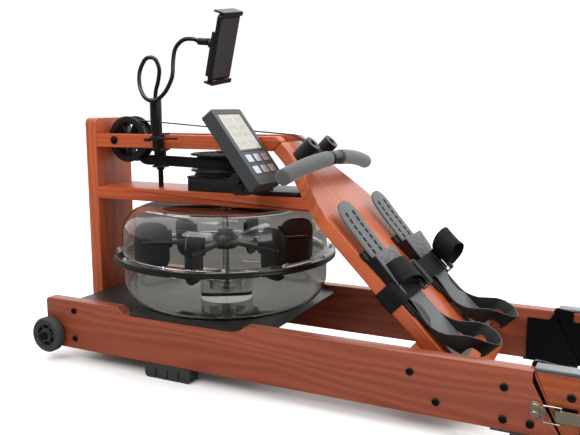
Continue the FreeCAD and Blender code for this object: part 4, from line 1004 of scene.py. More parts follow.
# ---- strap drive ------------------------------------------------------------------
@dataclass
class StrapDrive:
    """Pulley, idler, drum, their box on the shelf, and the webbing, in mm."""

    pulley: tuple[float, float, float] = (100.0, 0.0, 496.0)
    seat: float = 45.0
    drum_x: float = 360.0
    drum_r: float = 62.0
    idler: tuple[float, float] = (190.0, -10.0)
    strap: float = 24.0
    thick: float = 1.6
    mid_z: float = 449.5

    def pulley_wheel(self) -> None:
        """Two flanges with a deep seat, a hub and seven flat spokes with thick roots."""
        c = np.array(self.pulley)
        rim = wheel(rounded([(38, -17.5), (54.5, -17.5), (54.5, -14.6), (46.5, -13.5),
                             (45, -12.8), (45, 12.8), (46.5, 13.5), (54.5, 14.6),
                             (54.5, 17.5), (38, 17.5)], 0.8, 3), c, 96)
        lip = wheel(rounded([(38, -17.5), (41, -17.5), (41, -15), (38, -15)], 0.6, 3), c, 72)
        hub = wheel(rounded([(6.2, -17.4), (13, -17.4), (14, -12), (14, 12), (13, 17.4),
                             (6.2, 17.4)], 1.0, 3), c, 48)
        spokes = []
        blade = plate(rounded([(11, -3.4), (26, -2.0), (39.5, -3.0), (39.5, 3.0), (26, 2.0),
                               (11, 3.4)], 1.0, 3), XZ, -14.3, 14.3, 0.9)
        for i in range(7):
            a = math.radians(i * 360 / 7 + 12)
            turn = [(math.cos(a), 0, math.sin(a)), (0, 1, 0), (-math.sin(a), 0, math.cos(a))]
            spokes.append(blade.moved(c, turn))
        piece("strap_pulley_wheel", join([rim, lip, hub] + spokes), PULLEY_ABS, "pulley",
              ("strap_pulley",))

    def rollers(self) -> None:
        """The flanged idler and the drum with its rims, and the bungee disc under it."""
        x, y = self.idler
        section = [(6.2, 432), (20, 432), (20, 434.5), (14, 437.2), (14, 468.8), (20, 471.5),
                   (20, 474), (6.2, 474)]
        piece("idler_spool", turned(rounded(section, 0.8, 3), x, y, 56), BLACK_ABS, "idler",
              ("idler_roller",))
        section = [(8.2, 430), (75, 430), (76, 431), (76, 433), (75, 434), (62, 434.6),
                   (62, 464.4), (75, 465), (76, 466), (76, 468), (75, 469), (58, 469),
                   (54, 466), (26, 466), (22, 469), (20, 474), (8.2, 474)]
        drum = turned(rounded(section, 0.8, 3), self.drum_x, 0, 112)
        low = turned(rounded([(8.2, 421.5), (68, 421.5), (68, 423.5), (64, 424.5),
                              (64, 426.5), (68, 427.5), (68, 429.8), (8.2, 429.8)], 0.5, 3),
                     self.drum_x, 0, 112)
        piece("strap_drum_wheel", join([drum, low]), BLACK_ABS, "drum", ("strap_drum",))

    def box(self) -> None:
        """The return box with its lid line, and its low cover plate."""
        body = box((296, 452), (-58, 58), (386, 414), 1.4, 6)
        lid = box((295, 453), (-58.8, 58.8), (414.3, 419.4), 1.4, 6)
        ribs = [box((302 + 18 * i, 306 + 18 * i), (-59, 59), (389, 411), 0.8)
                for i in range(8)]
        collar = turned([(12, 417), (26, 417), (26, 420.8), (22, 421.2), (12, 421.2)],
                        self.drum_x, 0, 56)
        wing = box((452.3, 572), (-58, 58), (386, 395), 2.0, 5)
        piece("return_box", join([body, lid, collar, wing] + ribs[:1]), BLACK_ABS, "base",
              ("drum_housing",))

    def axles(self) -> None:
        """The pulley's axle with capped ends and spacers, and the idler's rod."""
        x, _, z = self.pulley
        bar = straight_tube(6, (x, -66, z), (x, 66, z), 1)
        parts = [bar]
        for side in (-1, 1):
            ends = ((64.0, 67.0, 9.5), (66.8, 69.0, 7.0), (18.3, 37.0, 9.0))
            parts += [straight_tube(r, (x, side * a, z), (x, side * b, z), 0.8)
                      for a, b, r in ends]
        u, v = self.idler
        parts += [straight_tube(6, (u, v, 386), (u, v, 478), 1),
                  straight_tube(9, (u, v, 474.6), (u, v, 480), 1.5),
                  straight_tube(9, (u, v, 426), (u, v, 431.4), 1)]
        piece("drive_axles", join(parts), BOLT, "base", ("strap_axles",))

    def webbing(self) -> None:
        """One strap: from the board's edge over the pulley, twisted, past the idler and
        round the drum. Its side turns from crosswise to upright between two points."""
        x, _, z = self.pulley
        mid = self.seat + 0.3 + self.thick / 2
        angle = np.linspace(math.radians(86), math.radians(270), 30)
        around = np.stack([x + mid * np.cos(angle), 0 * angle, z + mid * np.sin(angle)], 1)
        front = np.linspace((535, 0, 512), around[0], 24, endpoint=False)
        side = self.idler[1] - 14.3 - self.thick / 2
        low = curve([(x + 4, 0, z - mid), (130, -2, z - mid), (150, side * 0.55, 449.7),
                     (168, side, self.mid_z), (190, side, self.mid_z)], 30)
        reach = self.drum_r + 0.6 + self.thick / 2
        turn = np.radians(np.linspace(-104, 75, 40))
        drum = np.stack([self.drum_x + reach * np.cos(turn), reach * np.sin(turn),
                         np.full(40, self.mid_z)], 1)
        path = np.vstack([front, around, low, np.linspace(low[-1], drum[0], 12)[1:-1], drum])
        t = np.clip((np.arange(len(path)) - 62) / 14.0, 0, 1)
        tilt = (t * t * (3 - 2 * t)) * math.pi / 2
        across = np.stack([0 * tilt, np.cos(tilt), np.sin(tilt)], 1)
        piece("pull_strap_webbing", sweep(path, band(self.strap, self.thick), across), STRAP,
              "base", ("pull_strap",))

    def handle_webbing(self) -> None:
        """The free stretch to the handle, which runs out as the handle is pulled."""
        path = np.linspace((536, 0, 511.5), (609.8, 0, 471.2), 24)
        made = piece("handle_strap_webbing", sweep(path, band(self.strap, self.thick),
                                                   (0, 1, 0)), STRAP, "base")
        made.parent = None
        del made["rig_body"]
        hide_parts("handle_strap")
        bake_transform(made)

    def build(self) -> None:
        """Makes the whole drive."""
        self.pulley_wheel()
        self.rollers()
        self.box()
        self.axles()
        self.webbing()
        self.handle_webbing()


# ---- foot rests -------------------------------------------------------------------
def lofted(s: Array, half: Array, low: Array, high: Array, edge: float, y: float) -> Shell:
    """A bar along s whose section is a rounded rectangle: corner c of it lies at
    (y +- (half - edge) + edge cos a, middle +- (height / 2 - edge) + edge sin a).

    Args:
        s: places of the sections.
        half: half width at each place.
        low: lower side at each place.
        high: upper side at each place.
        edge: corner radius of the section.
        y: the bar's middle.
    Returns:
        The bar with columns s, y, n.
    """
    angle = np.radians([0, 30, 60, 90, 90, 120, 150, 180, 180, 210, 240, 270, 270, 300, 330,
                        360])
    sign_y = np.repeat([1, -1, -1, 1], 4)
    sign_n = np.repeat([1, 1, -1, -1], 4)
    soft = np.minimum(edge, 0.49 * np.minimum(high - low, 2 * half))[:, None]
    y_ring = y + sign_y * (half[:, None] - soft) + soft * np.cos(angle)
    n_ring = ((high + low) / 2)[:, None] + sign_n * (((high - low) / 2)[:, None] - soft)
    n_ring = n_ring + soft * np.sin(angle)
    s_ring = np.broadcast_to(s[:, None], y_ring.shape)
    return grid(np.stack([s_ring, y_ring, n_ring], 2), wrap_cols=True, caps=True)


@dataclass
class FootRest:
    """One foot rest: its base on the board and the sole that slides over it, in mm."""

    side: int
    centre: float = 95.0
    strip_half: float = 42.0
    toe_half: float = 55.0
    cup_half: float = 47.0
    heel_s: float = 530.0
    wall: float = 2.8

    @property
    def label(self) -> str:
        """Which foot: the one on the positive side is the right one."""
        return "right" if self.side > 0 else "left"

    def rise(self, s: Array) -> Array:
        """Height of the sole's upper side: a toe wedge that runs out into the flat sole."""
        return np.interp(s, [184, 230, 300, 312, 345, 380, 440, 470, 600],
                         [26, 20.5, 16.0, 28, 24.5, 19, 14.5, 13, 13])

    def rim(self, s: Array) -> Array:
        """Height of the cup's wall, an S-curve from the sole up to the heel."""
        return np.interp(s, [430, 455, 475, 488, 500, 512, 525, 540, 558, 577],
                         [10.5, 12, 14.5, 20, 28, 42, 57, 67.5, 75, 80])

    def strip(self) -> Shell:
        """The long holed strip with a round, slightly lifted end."""
        s = 184 + 130 * np.concatenate([1 - np.cos(np.linspace(0, 1.0, 14)),
                                        np.linspace(0.48, 1.0, 12)])
        back = self.strip_half - 6.0
        curve_in = np.clip(1 - ((back - (s - 184)) / back).clip(0) ** 2, 0.0, 1)
        half = 7.0 + (self.strip_half - 7.0) * np.sqrt(curve_in)
        top = np.interp(s, [184, 196, 240, 300, 316], [27.5, 25.0, 19.5, 15.5, 15.0])
        return lofted(s, half, top - 4.5, top, 1.6, 0.0)

    def holes(self) -> Shell:
        """Two rows of seven oblong holes through the strip."""
        spots = [(213 + 14.4 * i, row) for i in range(7) for row in (-18, 18)]
        one = slab(rounded([(-6, -5.4), (6, -5.4), (6, 5.4), (-6, 5.4)], 4.6, 5), 0, 50,
                   0.1, 1)
        return join([one.moved((s, y, 0), XY) for s, y in spots])

    def toe(self) -> tuple[Shell, Shell]:
        """The toe wedge's thin grey plate and the block under it, coloured near black as painted
        shade on its side.
        """
        s = np.linspace(309, 412, 24)
        half = np.interp(s, [309, 345, 362, 380, 412], [self.toe_half, 51, 46, 42, 38])
        top = self.rise(s.clip(312))
        plate_ = lofted(s, half, top - 3.0, top, 1.2, 0.0)
        block = lofted(s + 0.6, half - 1.5, np.full(24, 9.8), top - 2.8, 1.5, 0.0)
        return plate_, block

    def sole(self) -> Shell:
        """The flat sole, waisted under the strap and full at the heel."""
        s = np.linspace(395, 558, 48)
        half = np.interp(s, [395, 425, 440, 455, 470, 490, 600], [35, 36, 38, 41, 44.5, 46, 46])
        past = (s - self.heel_s).clip(0)
        inner = self.cup_half - 1.0
        half = np.minimum(half, np.sqrt((inner ** 2 - past ** 2).clip(9)))
        top = self.rise(s)
        return lofted(s, half, top - 3.2, top, 1.2, 0.0)

    def cup(self) -> Shell:
        """The wall: a lip of even thickness carried round the heel's outline."""
        straight = np.linspace(437, self.heel_s, 34, endpoint=False)
        flare = np.interp(straight, [437, 455, 475, 490], [39.5, 42.5, 46, self.cup_half])
        angle = np.linspace(math.pi / 2, -math.pi / 2, 60)
        s = np.concatenate([straight, self.heel_s + self.cup_half * np.cos(angle),
                            straight[::-1]])
        y = np.concatenate([flare, self.cup_half * np.sin(angle), -flare[::-1]])
        ahead = np.stack([np.gradient(s), np.gradient(y)], 1)
        ahead /= np.linalg.norm(ahead, axis=1, keepdims=True)
        inward = np.stack([ahead[:, 1], -ahead[:, 0]], 1)
        high = self.rim(s)
        low = np.interp(s, [437, 505, 545, 577], [9.7, 9.7, 24, 44])
        low = np.minimum(low, high - 0.8)
        lip = np.radians(np.linspace(180, 0, 7))
        lip_in = self.wall / 2 * (1 + np.cos(lip))
        lip_up = self.wall / 2 * np.sin(lip)
        depth = np.concatenate([[0], lip_in, [self.wall]])
        points = np.empty((len(s), len(depth), 3))
        points[..., 0] = s[:, None] + inward[:, :1] * depth
        points[..., 1] = y[:, None] + inward[:, 1:] * depth
        lift = (high - low).clip(0.4)[:, None]
        points[:, 0, 2] = low
        points[:, -1, 2] = low
        points[:, 1:-1, 2] = low[:, None] + np.maximum(lift - self.wall / 2, lift * 0.3) + \
            np.minimum(1, lift / 3) * lip_up
        return grid(points, wrap_cols=True, caps=True)

    def lines(self) -> Shell:
        """Raised contour lines on the toe plate and comb ridges beside the sole."""
        shells = []
        for i in range(4):
            y = np.linspace(-44 + 3 * i, 44 - 3 * i, 40)
            s = 322 + 12 * i + 6.5 * np.sin(y / 11.0 + 0.8 * i)
            path = np.stack([s, y, self.rise(s) + 0.05], 1)
            shells.append(sweep(path, circle(0.45, 6), (0, 0, 1)))
        for i in range(5):
            s = np.linspace(416 + 4 * i, 474 - 3 * i, 20)
            y = 33.5 - 4.2 * i + 9 * ((s - 416) / 60) ** 2
            path = np.stack([s, y, self.rise(s) + 0.1], 1)
            shells.append(sweep(path, circle(0.6, 6), (0, 0, 1)))
        return join(shells)

    def placed(self, shell: Shell) -> Shell:
        """Moves a shell that is drawn round y = 0 to this side of the board."""
        if self.side < 0:
            shell = shell.mirrored()
        return BOARD.put(shell.moved((0, self.side * self.centre, 0), XY))

    def build(self) -> None:
        """The sliding sole with all its parts, on its own body."""
        body = f"{self.label}_heel"
        name = f"{self.label}_foot"
        strip = piece(f"{name}_strip", self.placed(self.strip()), SOLE_ABS, body,
                      (f"{self.label}_heel_cup",))
        carve(strip, self.placed(self.holes()))
        plate_, block = self.toe()
        piece(f"{name}_toe_plate", self.placed(plate_), SOLE_ABS, body)
        # Painted shade: the block's near-black colour stands for the shade on its side.
        piece(f"{name}_toe_block", self.placed(block), CUP_ABS_PAINTED_SHADE, body)
        piece(f"{name}_sole", self.placed(self.sole()), SOLE_ABS, body)
        # Painted shade: the cup's wall is coloured near black.
        wall = piece(f"{name}_cup", self.placed(self.cup()), CUP_ABS_PAINTED_SHADE, body)
        arch = slab(rounded([(543, 8), (569, 8), (569, 49), (543, 49)], [1, 1, 12, 12], 7),
                    -70, 70, 0.1, 1).moved((0, 0, 0), XZ)
        carve(wall, self.placed(arch))
        # The ridges take the same near-black painted-shade colour.
        piece(f"{name}_lines", self.placed(self.lines()), CUP_ABS_PAINTED_SHADE, body)


@dataclass
class FootBases:
    """The two bases that are screwed to the board, with their guide wings."""

    def build(self) -> None:
        """Flat boxes with a raised end block, screws and pointed wings."""
        s = np.linspace(288, 470, 24)
        base = lofted(s, np.interp(s, [288, 340, 470], [50, 44, 38]), np.zeros(24),
                      np.full(24, 8.8), 1.5, 95.0)
        end = lofted(np.array([289.0, 306.0]), np.array([52.0, 52.0]), np.zeros(2),
                     np.full(2, 9.2), 1.5, 95.0)
        wings = []
        for edge in (-1, 1):
            tip = slab(rounded([(404, 95 + edge * 39), (438, 95 + edge * 44),
                                (440, 95 + edge * 47), (404, 95 + edge * 47.5)], 2), 0.5, 6.0, 1)
            wings.append(tip)
        screws = [straight_tube(4.5, (298, 95 + dy, 8.5), (298, 95 + dy, 9.6), 0.3)
                  for dy in (-44, 44)]
        # The base plates take the same near-black painted-shade colour.
        piece("foot_base_plates", BOARD.put(both(join([base, end] + wings + screws))), CUP_ABS_PAINTED_SHADE,
              "base", ("foot_bases",))


@dataclass
class FootStraps:
    """Ribbed webbing straps with two-bar buckles, each left in its own lie."""

    width: float = 45.0
    thick: float = 2.0

    def ribbon(self, points: list[tuple[float, float, float]], count: int = 60) -> Shell:
        """A strap through (s, y, n) points, its width along the board's slope."""
        return sweep(curve(points, count), band(self.width, self.thick), (1, 0, 0))

    def buckle(self, s: float, y: float, n: float, lean: float) -> tuple[Shell, Shell]:
        """A frame of three bars along the slope with end plates, leant by an angle.

        Returns:
            The dark frame and its bright middle bar.
        """
        long = self.width / 2 + 5
        bars = [straight_tube(r, (-long, v, h), (long, v, h), 1.2, 20)
                for v, h, r in ((-12, 0, 2.4), (12, 0, 2.6))]
        ends = [box((e - 2, e + 2), (-14, 14), (-3.2, 3.2), 1.4, 3) for e in (-long, long)]
        cover = lofted(np.array([-long, long]), np.array([4.5, 4.5]), np.array([1.0, 1.0]),
                       np.array([4.4, 4.4]), 1.6, 10.5)
        bright = straight_tube(1.9, (-long + 1, 1, 2), (long - 1, 1, 2), 0.8, 20)
        a = math.radians(lean)
        axes = [(1, 0, 0), (0, math.cos(a), math.sin(a)), (0, -math.sin(a), math.cos(a))]
        return (join(bars + ends + [cover]).moved((s, y, n), axes),
                bright.moved((s, y, n), axes))

    def near(self) -> tuple[list[Shell], tuple[Shell, Shell]]:
        """Left foot: round the board's edge, over the sole, and a slack roll by the buckle."""
        s = 387.0
        edge = self.ribbon([(s, -136, -29.6), (s, -145.8, -28), (s, -145.8, -14),
                            (s, -145.6, 0), (s, -143, 9), (s, -132, 17), (s, -112, 22),
                            (s, -90, 25), (s - 1, -70, 27.5), (s - 1, -56, 29)])
        roll = self.ribbon([(s - 3, -60, 30), (s - 10, -74, 40), (s - 20, -96, 48),
                            (s - 27, -118, 46), (s - 30, -134, 33), (s - 30, -134, 18),
                            (s - 27, -120, 21), (s - 22, -106, 30), (s - 16, -88, 33),
                            (s - 8, -72, 31)], 90)
        tail = self.ribbon([(s, -58, 29), (s, -44, 22), (s, -30, 12), (s, -19, 3),
                            (s, -14, -6), (s, -14, -30)])
        return [edge, roll, tail], self.buckle(s - 2, -60, 33, 28)

    def far(self) -> tuple[list[Shell], tuple[Shell, Shell]]:
        """Right foot: up from the slot as a flat band to the buckle, then an open loop."""
        s = 387.0
        flat = self.ribbon([(s, 14, -30), (s, 14, -6), (s - 3, 20, 6), (s - 4, 36, 17),
                            (s - 4, 58, 25), (s - 3, 82, 29), (s, 104, 32)])
        loop = self.ribbon([(s - 1, 98, 36), (s - 12, 84, 54), (s - 22, 86, 74),
                            (s - 22, 104, 86), (s - 14, 126, 82), (s - 3, 136, 64),
                            (s + 2, 130, 44), (s + 3, 116, 34)], 90)
        edge = self.ribbon([(s, 112, 30), (s, 128, 22), (s, 140, 12), (s, 145.6, 0),
                            (s, 145.8, -14), (s, 145.8, -28), (s, 136, -29.6)])
        return [flat, loop, edge], self.buckle(s + 2, 104, 34, 14)

    def build(self) -> None:
        """Both straps and their buckles, on the frame."""
        near, near_buckle = self.near()
        far, far_buckle = self.far()
        for name, shell in zip(("edge", "roll", "tail"), near):
            piece(f"left_strap_{name}", BOARD.put(shell), STRAP, "base",
                  ("foot_straps",) if name == "edge" else ())
        for name, shell in zip(("flat", "loop", "edge"), far):
            piece(f"right_strap_{name}", BOARD.put(shell), STRAP, "base")
        for side, (dark, bright) in (("left", near_buckle), ("right", far_buckle)):
            piece(f"{side}_buckle", BOARD.put(dark), GLOSS_ABS, "base")
            piece(f"{side}_buckle_bar", BOARD.put(bright), BOLT, "base")


# ---- handle -----------------------------------------------------------------------
@dataclass
class Handle:
    """The bowed pull bar: steel tube, centre collar, strap lug and two foam grips."""

    centre: tuple[float, float, float] = (627.0, 0.0, 466.0)
    end: tuple[float, float, float] = (616.0, 222.0, 442.0)
    bar: float = 11.0
    grip: float = 16.0

    def path(self, low: float, high: float, count: int) -> Array:
        """Points of the bow's arc, c + R (cos t - 1) u + R sin t y, from share low to high.

        Args:
            low: start as a share of the arc, from 0 to 1.
            high: end as a share of the arc.
            count: how many points.
        Returns:
            (count, 3) points, closer together at both ends.
        """
        centre, end = np.array(self.centre), np.array(self.end)
        drop = centre - end
        drop[1] = 0
        sag = np.linalg.norm(drop)
        radius = (end[1] ** 2 + sag ** 2) / (2 * sag)
        reach = math.asin(end[1] / radius)
        share = low + (high - low) * (1 - np.cos(np.linspace(0, math.pi, count))) / 2
        turn = (2 * share - 1)[:, None] * reach
        return centre + radius * (np.cos(turn) - 1) * drop / sag + \
            radius * np.sin(turn) * np.array([0, 1.0, 0])

    def soft_tube(self, low: float, high: float, radius: float, edge: float,
                  count: int = 70) -> Shell:
        """A tube along the arc whose two ends are rounded by a quarter circle."""
        path = self.path(low, high, count)
        gone = np.concatenate([[0], np.cumsum(np.linalg.norm(np.diff(path, axis=0), axis=1))])
        near = np.minimum(gone, gone[-1] - gone)
        fall = (1 - near / edge).clip(0)
        size = 1 - edge / radius * (1 - np.sqrt(1 - fall ** 2))
        return sweep(path, circle(radius, 40), (1, 0, 0.4), size)

    def build(self) -> None:
        """All of the handle, on its own body."""
        x, _, z = self.centre
        lug = box((x - self.bar - 6, x), (-14, 14), (z - 2, z + 9), 1.5, 3)
        collar = self.soft_tube(0.455, 0.545, self.bar + 3.5, 2.5, 40)
        piece("handle_tube", self.soft_tube(0.02, 0.98, self.bar, 2), STEEL, "handle",
              ("handle_bar",))
        piece("handle_collar", join([collar, lug]), BLACK_ABS, "handle")
        for side, span in (("left", (0.0, 0.44)), ("right", (0.56, 1.0))):
            grip = piece(f"{side}_grip", self.soft_tube(*span, self.grip, 7, 90), FOAM,
                         "handle", ("hand_grips",) if side == "left" else ())


# ---- seat and rear rails ----------------------------------------------------------
@dataclass
class Seat:
    """The padded seat over its plywood base."""

    middle: float = 1600.0
    half: tuple[float, float] = (117.5, 150.5)
    low: float = 200.3
    high: float = 245.5
    corner: float = 52.0

    def pad(self) -> Shell:
        """Rings from the base up a seamed wall and over a dished top.

        The top's height is high - 7 g(x + 20, y - 62) - 7 g(x + 20, y + 62) - 5 h(y) f(x)
        with g and h bell curves: two seat hollows and a relief channel to the back.
        """
        across, along = self.half
        outline = rounded([(-across, -along), (across, -along), (across, along),
                           (-across, along)], self.corner, 30)
        wall = np.array([(5, 0), (1.6, 1.2), (0.5, 4), (0.2, 9), (0.4, 12.2), (1.9, 13),
                         (0.4, 13.8), (0.0, 18), (0.3, 25), (1.6, 31), (4, 36), (8, 40),
                         (13, 43), (19, 44.7), (26, 45.2)])
        rings = inset(outline, wall[:, 0])
        height = self.low + wall[:, 1]
        share = np.linspace(0.96, 0.0, 26)[:, None, None]
        rings = np.concatenate([rings, rings[-1] * share])
        rings[-1] += outline * 1e-4
        height = np.concatenate([height, np.full(26, self.high)])
        x, y = rings[..., 0], rings[..., 1]
        bell = np.exp(-((x + 18) / 52) ** 2 - ((np.abs(y) - 62) / 40) ** 2)
        channel = np.exp(-(y / 17) ** 2) / (1 + np.exp(-(x - 5) / 18))
        over = ((height[:, None] - self.low - 36) / 9).clip(0, 1)
        z = height[:, None] - over * (8 * bell + 6 * channel)
        rings[..., 0] += self.middle
        return grid(np.dstack([rings, z]), wrap_cols=True, caps=True)

    def piping(self) -> Shell:
        """The cord sewn into the seam round the wall."""
        across, along = self.half
        outline = inset(rounded([(-across, -along), (across, -along), (across, along),
                                 (-across, along)], self.corner, 30), np.array([1.5]))[0]
        ring = np.linspace(0, 2 * math.pi, 9)[:-1]
        out = outline / np.linalg.norm(outline, axis=1, keepdims=True)
        points = np.empty((len(outline), 8, 3))
        points[..., :2] = outline[:, None] + 1.3 * np.cos(ring)[None, :, None] * out[:, None]
        points[..., 2] = self.low + 13 + 1.3 * np.sin(ring)
        points[..., 0] += self.middle
        return grid(points, wrap_rows=True, wrap_cols=True)

    def build(self) -> None:
        """Pad and cord, on the seat's body."""
        body = frame["nodes"]["seat_pad"]["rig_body"]
        pad = piece("seat_cushion", self.pad(), SKIN, body, ("seat_pad",), 60)
        piece("seat_piping", self.piping(), SEAL, body)


@dataclass
class Tracks:
    """The ribbed aluminium tracks on the rear rails."""

    span: tuple[float, float] = (1070.5, 2098.0)
    side: tuple[float, float] = (177.5, 203.5)
    low: float = 142.6
    high: float = 150.0

    def build(self) -> None:
        """One extrusion a side: shallow ribs 2.6 mm apart along its top."""
        y = np.linspace(self.side[0] + 1.5, self.side[1] - 1.5, 73)
        z = self.high - 0.45 + 0.45 * np.cos(2 * math.pi * (y - y[0]) / 2.55)
        top = list(zip(y, z))
        outline = [(self.side[1], self.high - 1.5), (self.side[1], self.low),
                   (self.side[0], self.low), (self.side[0], self.high - 1.5)]
        shape = np.array(top + outline)
        track = slab(shape, *self.span, 0.3, 1).moved((0, 0, 0), YZ)
        piece("ribbed_tracks", both(track), ALUMINIUM,
              frame["nodes"]["seat_tracks"]["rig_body"], ("seat_tracks",), 50)


# ---- monitor ----------------------------------------------------------------------
@dataclass
class Monitor:
    """What is added to the monitor's case: display segments and the keypad's outline."""

    top: tuple[float, float, float] = (442.0, -126.5, 567.0)
    slope: float = 53.0

    def put(self, shell: Shell) -> Shell:
        """From (down the face, across, out of it) to the machine."""
        a = math.radians(self.slope)
        return shell.moved(self.top, [(math.cos(a), 0, -math.sin(a)), (0, 1, 0),
                                      (math.sin(a), 0, math.cos(a))])

    def segments(self) -> Shell:
        """Seven-bar figures in four rows, and thin rules between the rows."""
        shells = []
        for row in range(4):
            u = 26 + 18.5 * row
            for v in (-30, -22, -12, -4, 14, 22, 32):
                for du, dv, long, wide in ((-4, 0, 0.5, 2.3), (0, 0, 0.5, 2.3),
                                           (4, 0, 0.5, 2.3), (-2, 2.6, 1.6, 0.5),
                                           (-2, -2.6, 1.6, 0.5), (2, 2.6, 1.6, 0.5),
                                           (2, -2.6, 1.6, 0.5)):
                    shells.append(box((u + du - long, u + du + long),
                                      (v + dv - wide, v + dv + wide), (-1.02, -0.9), 0.04))
            shells.append(box((u + 8.8, u + 9.3), (-38, 38), (-1.02, -0.92), 0.04))
        return join(shells)

    def build(self) -> None:
        """Segments and outline on the monitor's body."""
        body = frame["nodes"]["monitor_screen"]["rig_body"]
        piece("display_segments", self.put(self.segments()), SEGMENT, body)
        frame_line = rounded([(108, -51), (165, -51), (165, 51), (108, 51)], 6, 8)
        ring = np.array([(-0.5, 0), (0.5, 0), (0.5, 0.25), (-0.5, 0.25)])
        lines = inset(frame_line, ring[:, 0])
        height = np.broadcast_to(ring[:, 1:], lines.shape[:2])
        points = np.dstack([lines, height]).transpose(1, 0, 2)
        piece("keypad_outline", self.put(grid(points, wrap_rows=True, wrap_cols=True)),
              SOLE_ABS, body)


# ---- handset and its cradle -------------------------------------------------------
@dataclass
class Phone:
    """What is added to the handset and its cradle: the screen and the jaw pads."""

    centre: tuple[float, float, float] = (410.5, -78.0, 693.5)
    turns: tuple[float, float, float] = (9.0, 19.0, -2.2)

    def put(self, shell: Shell) -> Shell:
        """From (out of the face, across, up) to the machine: turns about X, then Y, then Z."""
        a, b, c = (math.radians(t) for t in self.turns)
        about_x = np.array([(1, 0, 0), (0, math.cos(a), math.sin(a)),
                            (0, -math.sin(a), math.cos(a))])
        about_y = np.array([(math.cos(b), 0, -math.sin(b)), (0, 1, 0),
                            (math.sin(b), 0, math.cos(b))])
        about_z = np.array([(math.cos(c), math.sin(c), 0), (-math.sin(c), math.cos(c), 0),
                            (0, 0, 1)])
        return shell.moved(self.centre, about_x @ about_y @ about_z)

    def build(self) -> None:
        """Screen on the handset, soft pads on both jaws."""
        outline = rounded([(-30.5, -62), (30.5, -62), (30.5, 62), (-30.5, 62)], 3, 5)
        screen = slab(outline, 4.4, 4.75, 0.1, 1).moved((0, 0, 0), YZ)
        piece("handset_screen", self.put(screen), GLASS, frame["nodes"]["handset"]["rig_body"])
        top = box((4.8, 6.9), (-11, 11), (66.5, 71.5), 0.6)
        low = join([box((4.8, 6.9), (y - 6, y + 6), (-71.5, -66.5), 0.6) for y in (-22, 22)])
        piece("upper_jaw_pad", self.put(top), RED_RUBBER,
              frame["nodes"]["upper_jaw"]["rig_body"])
        piece("lower_jaw_pads", self.put(low), RED_RUBBER,
              frame["nodes"]["cradle_back"]["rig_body"])


# ---- bolts ------------------------------------------------------------------------
def socketed(node: str, finish: Finish, spots: list[tuple[float, float]]) -> None:
    """A refined node with a hexagon socket sunk into each bolt head of both sides."""
    made = refined(node, finish, 0.0)
    angle = np.radians(np.arange(0, 360, 60))
    hexagon = np.stack([3.3 * np.cos(angle), 3.3 * np.sin(angle)], 1)
    one = slab(hexagon, 205.2, 210.0, 0.05, 1).moved((0, 0, 0), XZ)
    carve(made, both(join([one.moved((x, 0, z), XY) for x, z in spots])))


FRONT_BOLTS = [(82.7, 119), (82.7, 55), (860, 107), (908, 59), (1022.5, 107), (1022.5, 50),
               (1066.5, 50)]
REAR_BOLTS = [(1128, 107), (1150, 50), (1253.5, 105), (1253.5, 60), (2088.5, 105),
              (2088.5, 60)]
KEYS = 6


@dataclass
class Fittings:
    """The small fittings, shown as their CAD shapes with softened edges (edge in mm)."""

    edge: float = 0.5

    def finishes(self) -> dict[str, Finish]:
        """Each fitting's node and its finish."""
        by_finish = [
            (RUBBER, ("front_feet", "rear_feet", "left_wheel", "right_wheel")),
            (NICKEL, ("latch_keepers", "left_latch_lever", "right_latch_lever",
                      "left_latch_bail", "right_latch_bail")),
            (BLACK_ABS, ("handle_rests", "monitor_bracket", "front_rollers", "rear_rollers",
                         "clamp_lever", "cradle_back", "upper_jaw")),
            (GLOSS_ABS, ("phone_post", "gooseneck", "handset")),
            (STEEL, ("seat_carriage",)),
            (CROSS_WOOD, ("seat_base",)),
            (GREY_ABS, ("monitor_housing",)),
            (LCD, ("monitor_screen",)),
            (KEY, tuple(f"monitor_key_{i}" for i in range(1, KEYS + 1))),
        ]
        return {name: finish for finish, names in by_finish for name in names}

    def build(self) -> None:
        """Bolts with their sockets, then every other fitting."""
        socketed("front_hardware", BOLT, FRONT_BOLTS)
        socketed("rear_hardware", BOLT, REAR_BOLTS)
        for name, finish in self.finishes().items():
            refined(name, finish, self.edge)


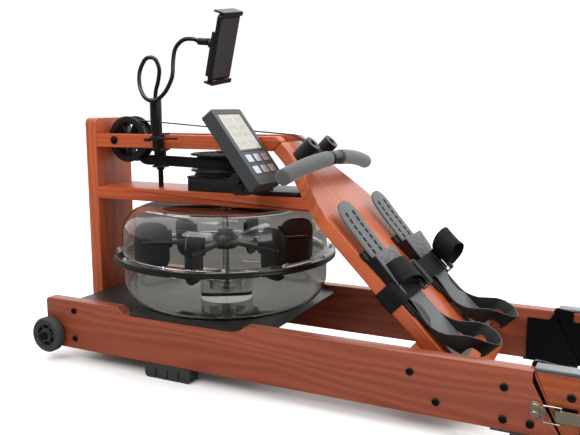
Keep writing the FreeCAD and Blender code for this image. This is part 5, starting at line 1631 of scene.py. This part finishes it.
# ---- studio -----------------------------------------------------------------------
@dataclass
class Studio:
    """A pale floor, soft lights and the camera."""

    floor_half: float = 30.0
    floor_drop: float = 0.0005
    dim: float = 0.08
    bright: float = 1.9
    backdrop: float = 1.02
    eye: tuple[float, float, float] = (0.15287, -1.36825, 0.57036)
    turn: tuple[float, float, float] = (81.123, 0.153, 26.145)
    lens: float = 43.81

    def floor(self) -> None:
        """A wide pale floor, darker where it is only seen in a reflection."""
        mesh = bpy.data.meshes.new("studio_floor")
        corners = np.array([(-1, -1, 0), (1, -1, 0), (1, 1, 0), (-1, 1, 0)], float)
        corners *= self.floor_half
        corners[:, 2] = -self.floor_drop
        mesh.from_pydata(corners.tolist(), [], [(0, 1, 2, 3)])
        made = bpy.data.objects.new("studio_floor", mesh)
        bpy.context.scene.collection.objects.link(made)
        paint = bpy.data.materials.new("studio_floor_paint")
        paint.use_nodes = True
        shader = paint.node_tree.nodes["Principled BSDF"]
        shader.inputs["Roughness"].default_value = 0.9
        seen = add(paint.node_tree, "LightPath").outputs["Is Glossy Ray"]
        tone = add(paint.node_tree, "Mix", {0: seen, 6: linear("#F8F8F7"),
                                            7: linear("#4A4846")}, data_type="RGBA")
        paint.node_tree.links.new(tone.outputs[2], shader.inputs["Base Color"])
        mesh.materials.append(paint)

    def light(self, name: str, place: tuple, aim: tuple, size: tuple, power: float) -> None:
        """One soft rectangular lamp that looks at a point."""
        lamp = bpy.data.lights.new(name, "AREA")
        lamp.shape = "RECTANGLE"
        lamp.size, lamp.size_y = size
        lamp.energy = power
        made = bpy.data.objects.new(name, lamp)
        bpy.context.scene.collection.objects.link(made)
        made.location = place
        way = Vector(aim) - Vector(place)
        made.rotation_euler = way.to_track_quat("-Z", "Y").to_euler()

    def build(self) -> None:
        """Places everything."""
        self.floor()
        world = bpy.data.worlds.new("studio_sky")
        world.use_nodes = True
        tree = world.node_tree
        back = tree.nodes["Background"]
        back.inputs[0].default_value = linear("#FFFFFF")
        way = add(tree, "TexCoord").outputs["Generated"]
        bright = add(tree, "VectorMath", {0: way, 1: (0.0, 0.42, 0.9)},
                     operation="DOT_PRODUCT")
        span = add(tree, "MapRange", {0: bright.outputs["Value"], 1: -0.35, 2: 1.0, 3: self.dim,
                                      4: self.bright})
        path = add(tree, "LightPath")
        seen = add(tree, "Math", {0: path.outputs["Is Camera Ray"],
                                  1: path.outputs["Is Transmission Ray"]},
                   operation="MAXIMUM")
        power = add(tree, "Mix", {0: seen.outputs[0], 2: span.outputs[0], 3: self.backdrop})
        tree.links.new(power.outputs[0], back.inputs[1])
        bpy.context.scene.world = world
        self.light("key_box", (-0.9, -2.6, 2.6), (-0.5, 0, 0.3), (1.6, 1.2), 45)
        self.light("top_box", (-0.2, 0.4, 2.8), (-0.3, 0, 0.3), (2.4, 1.2), 45)
        self.light("side_box", (2.6, -0.9, 1.5), (0, 0, 0.3), (1.2, 1.6), 25)
        bpy.context.scene.view_settings.view_transform = "Standard"
        camera = bpy.data.cameras.new("camera")
        camera.lens = self.lens
        camera.sensor_width = 36.0
        made = bpy.data.objects.new("camera", camera)
        made.location = self.eye
        made.rotation_euler = [math.radians(a) for a in self.turn]
        bpy.context.scene.collection.objects.link(made)
        bpy.context.scene.camera = made


def main() -> None:
    """Builds the machine sub-assembly by sub-assembly, then the studio."""
    logging.basicConfig(level=logging.INFO, format="%(name)s %(message)s")
    WoodFrame().build()
    Tank().build()
    StrapDrive().build()
    FootBases().build()
    for side in (-1, 1):
        FootRest(side).build()
    FootStraps().build()
    Handle().build()
    Seat().build()
    Tracks().build()
    Monitor().build()
    Phone().build()
    Fittings().build()
    Studio().build()


if __name__ == "__main__":
    main()
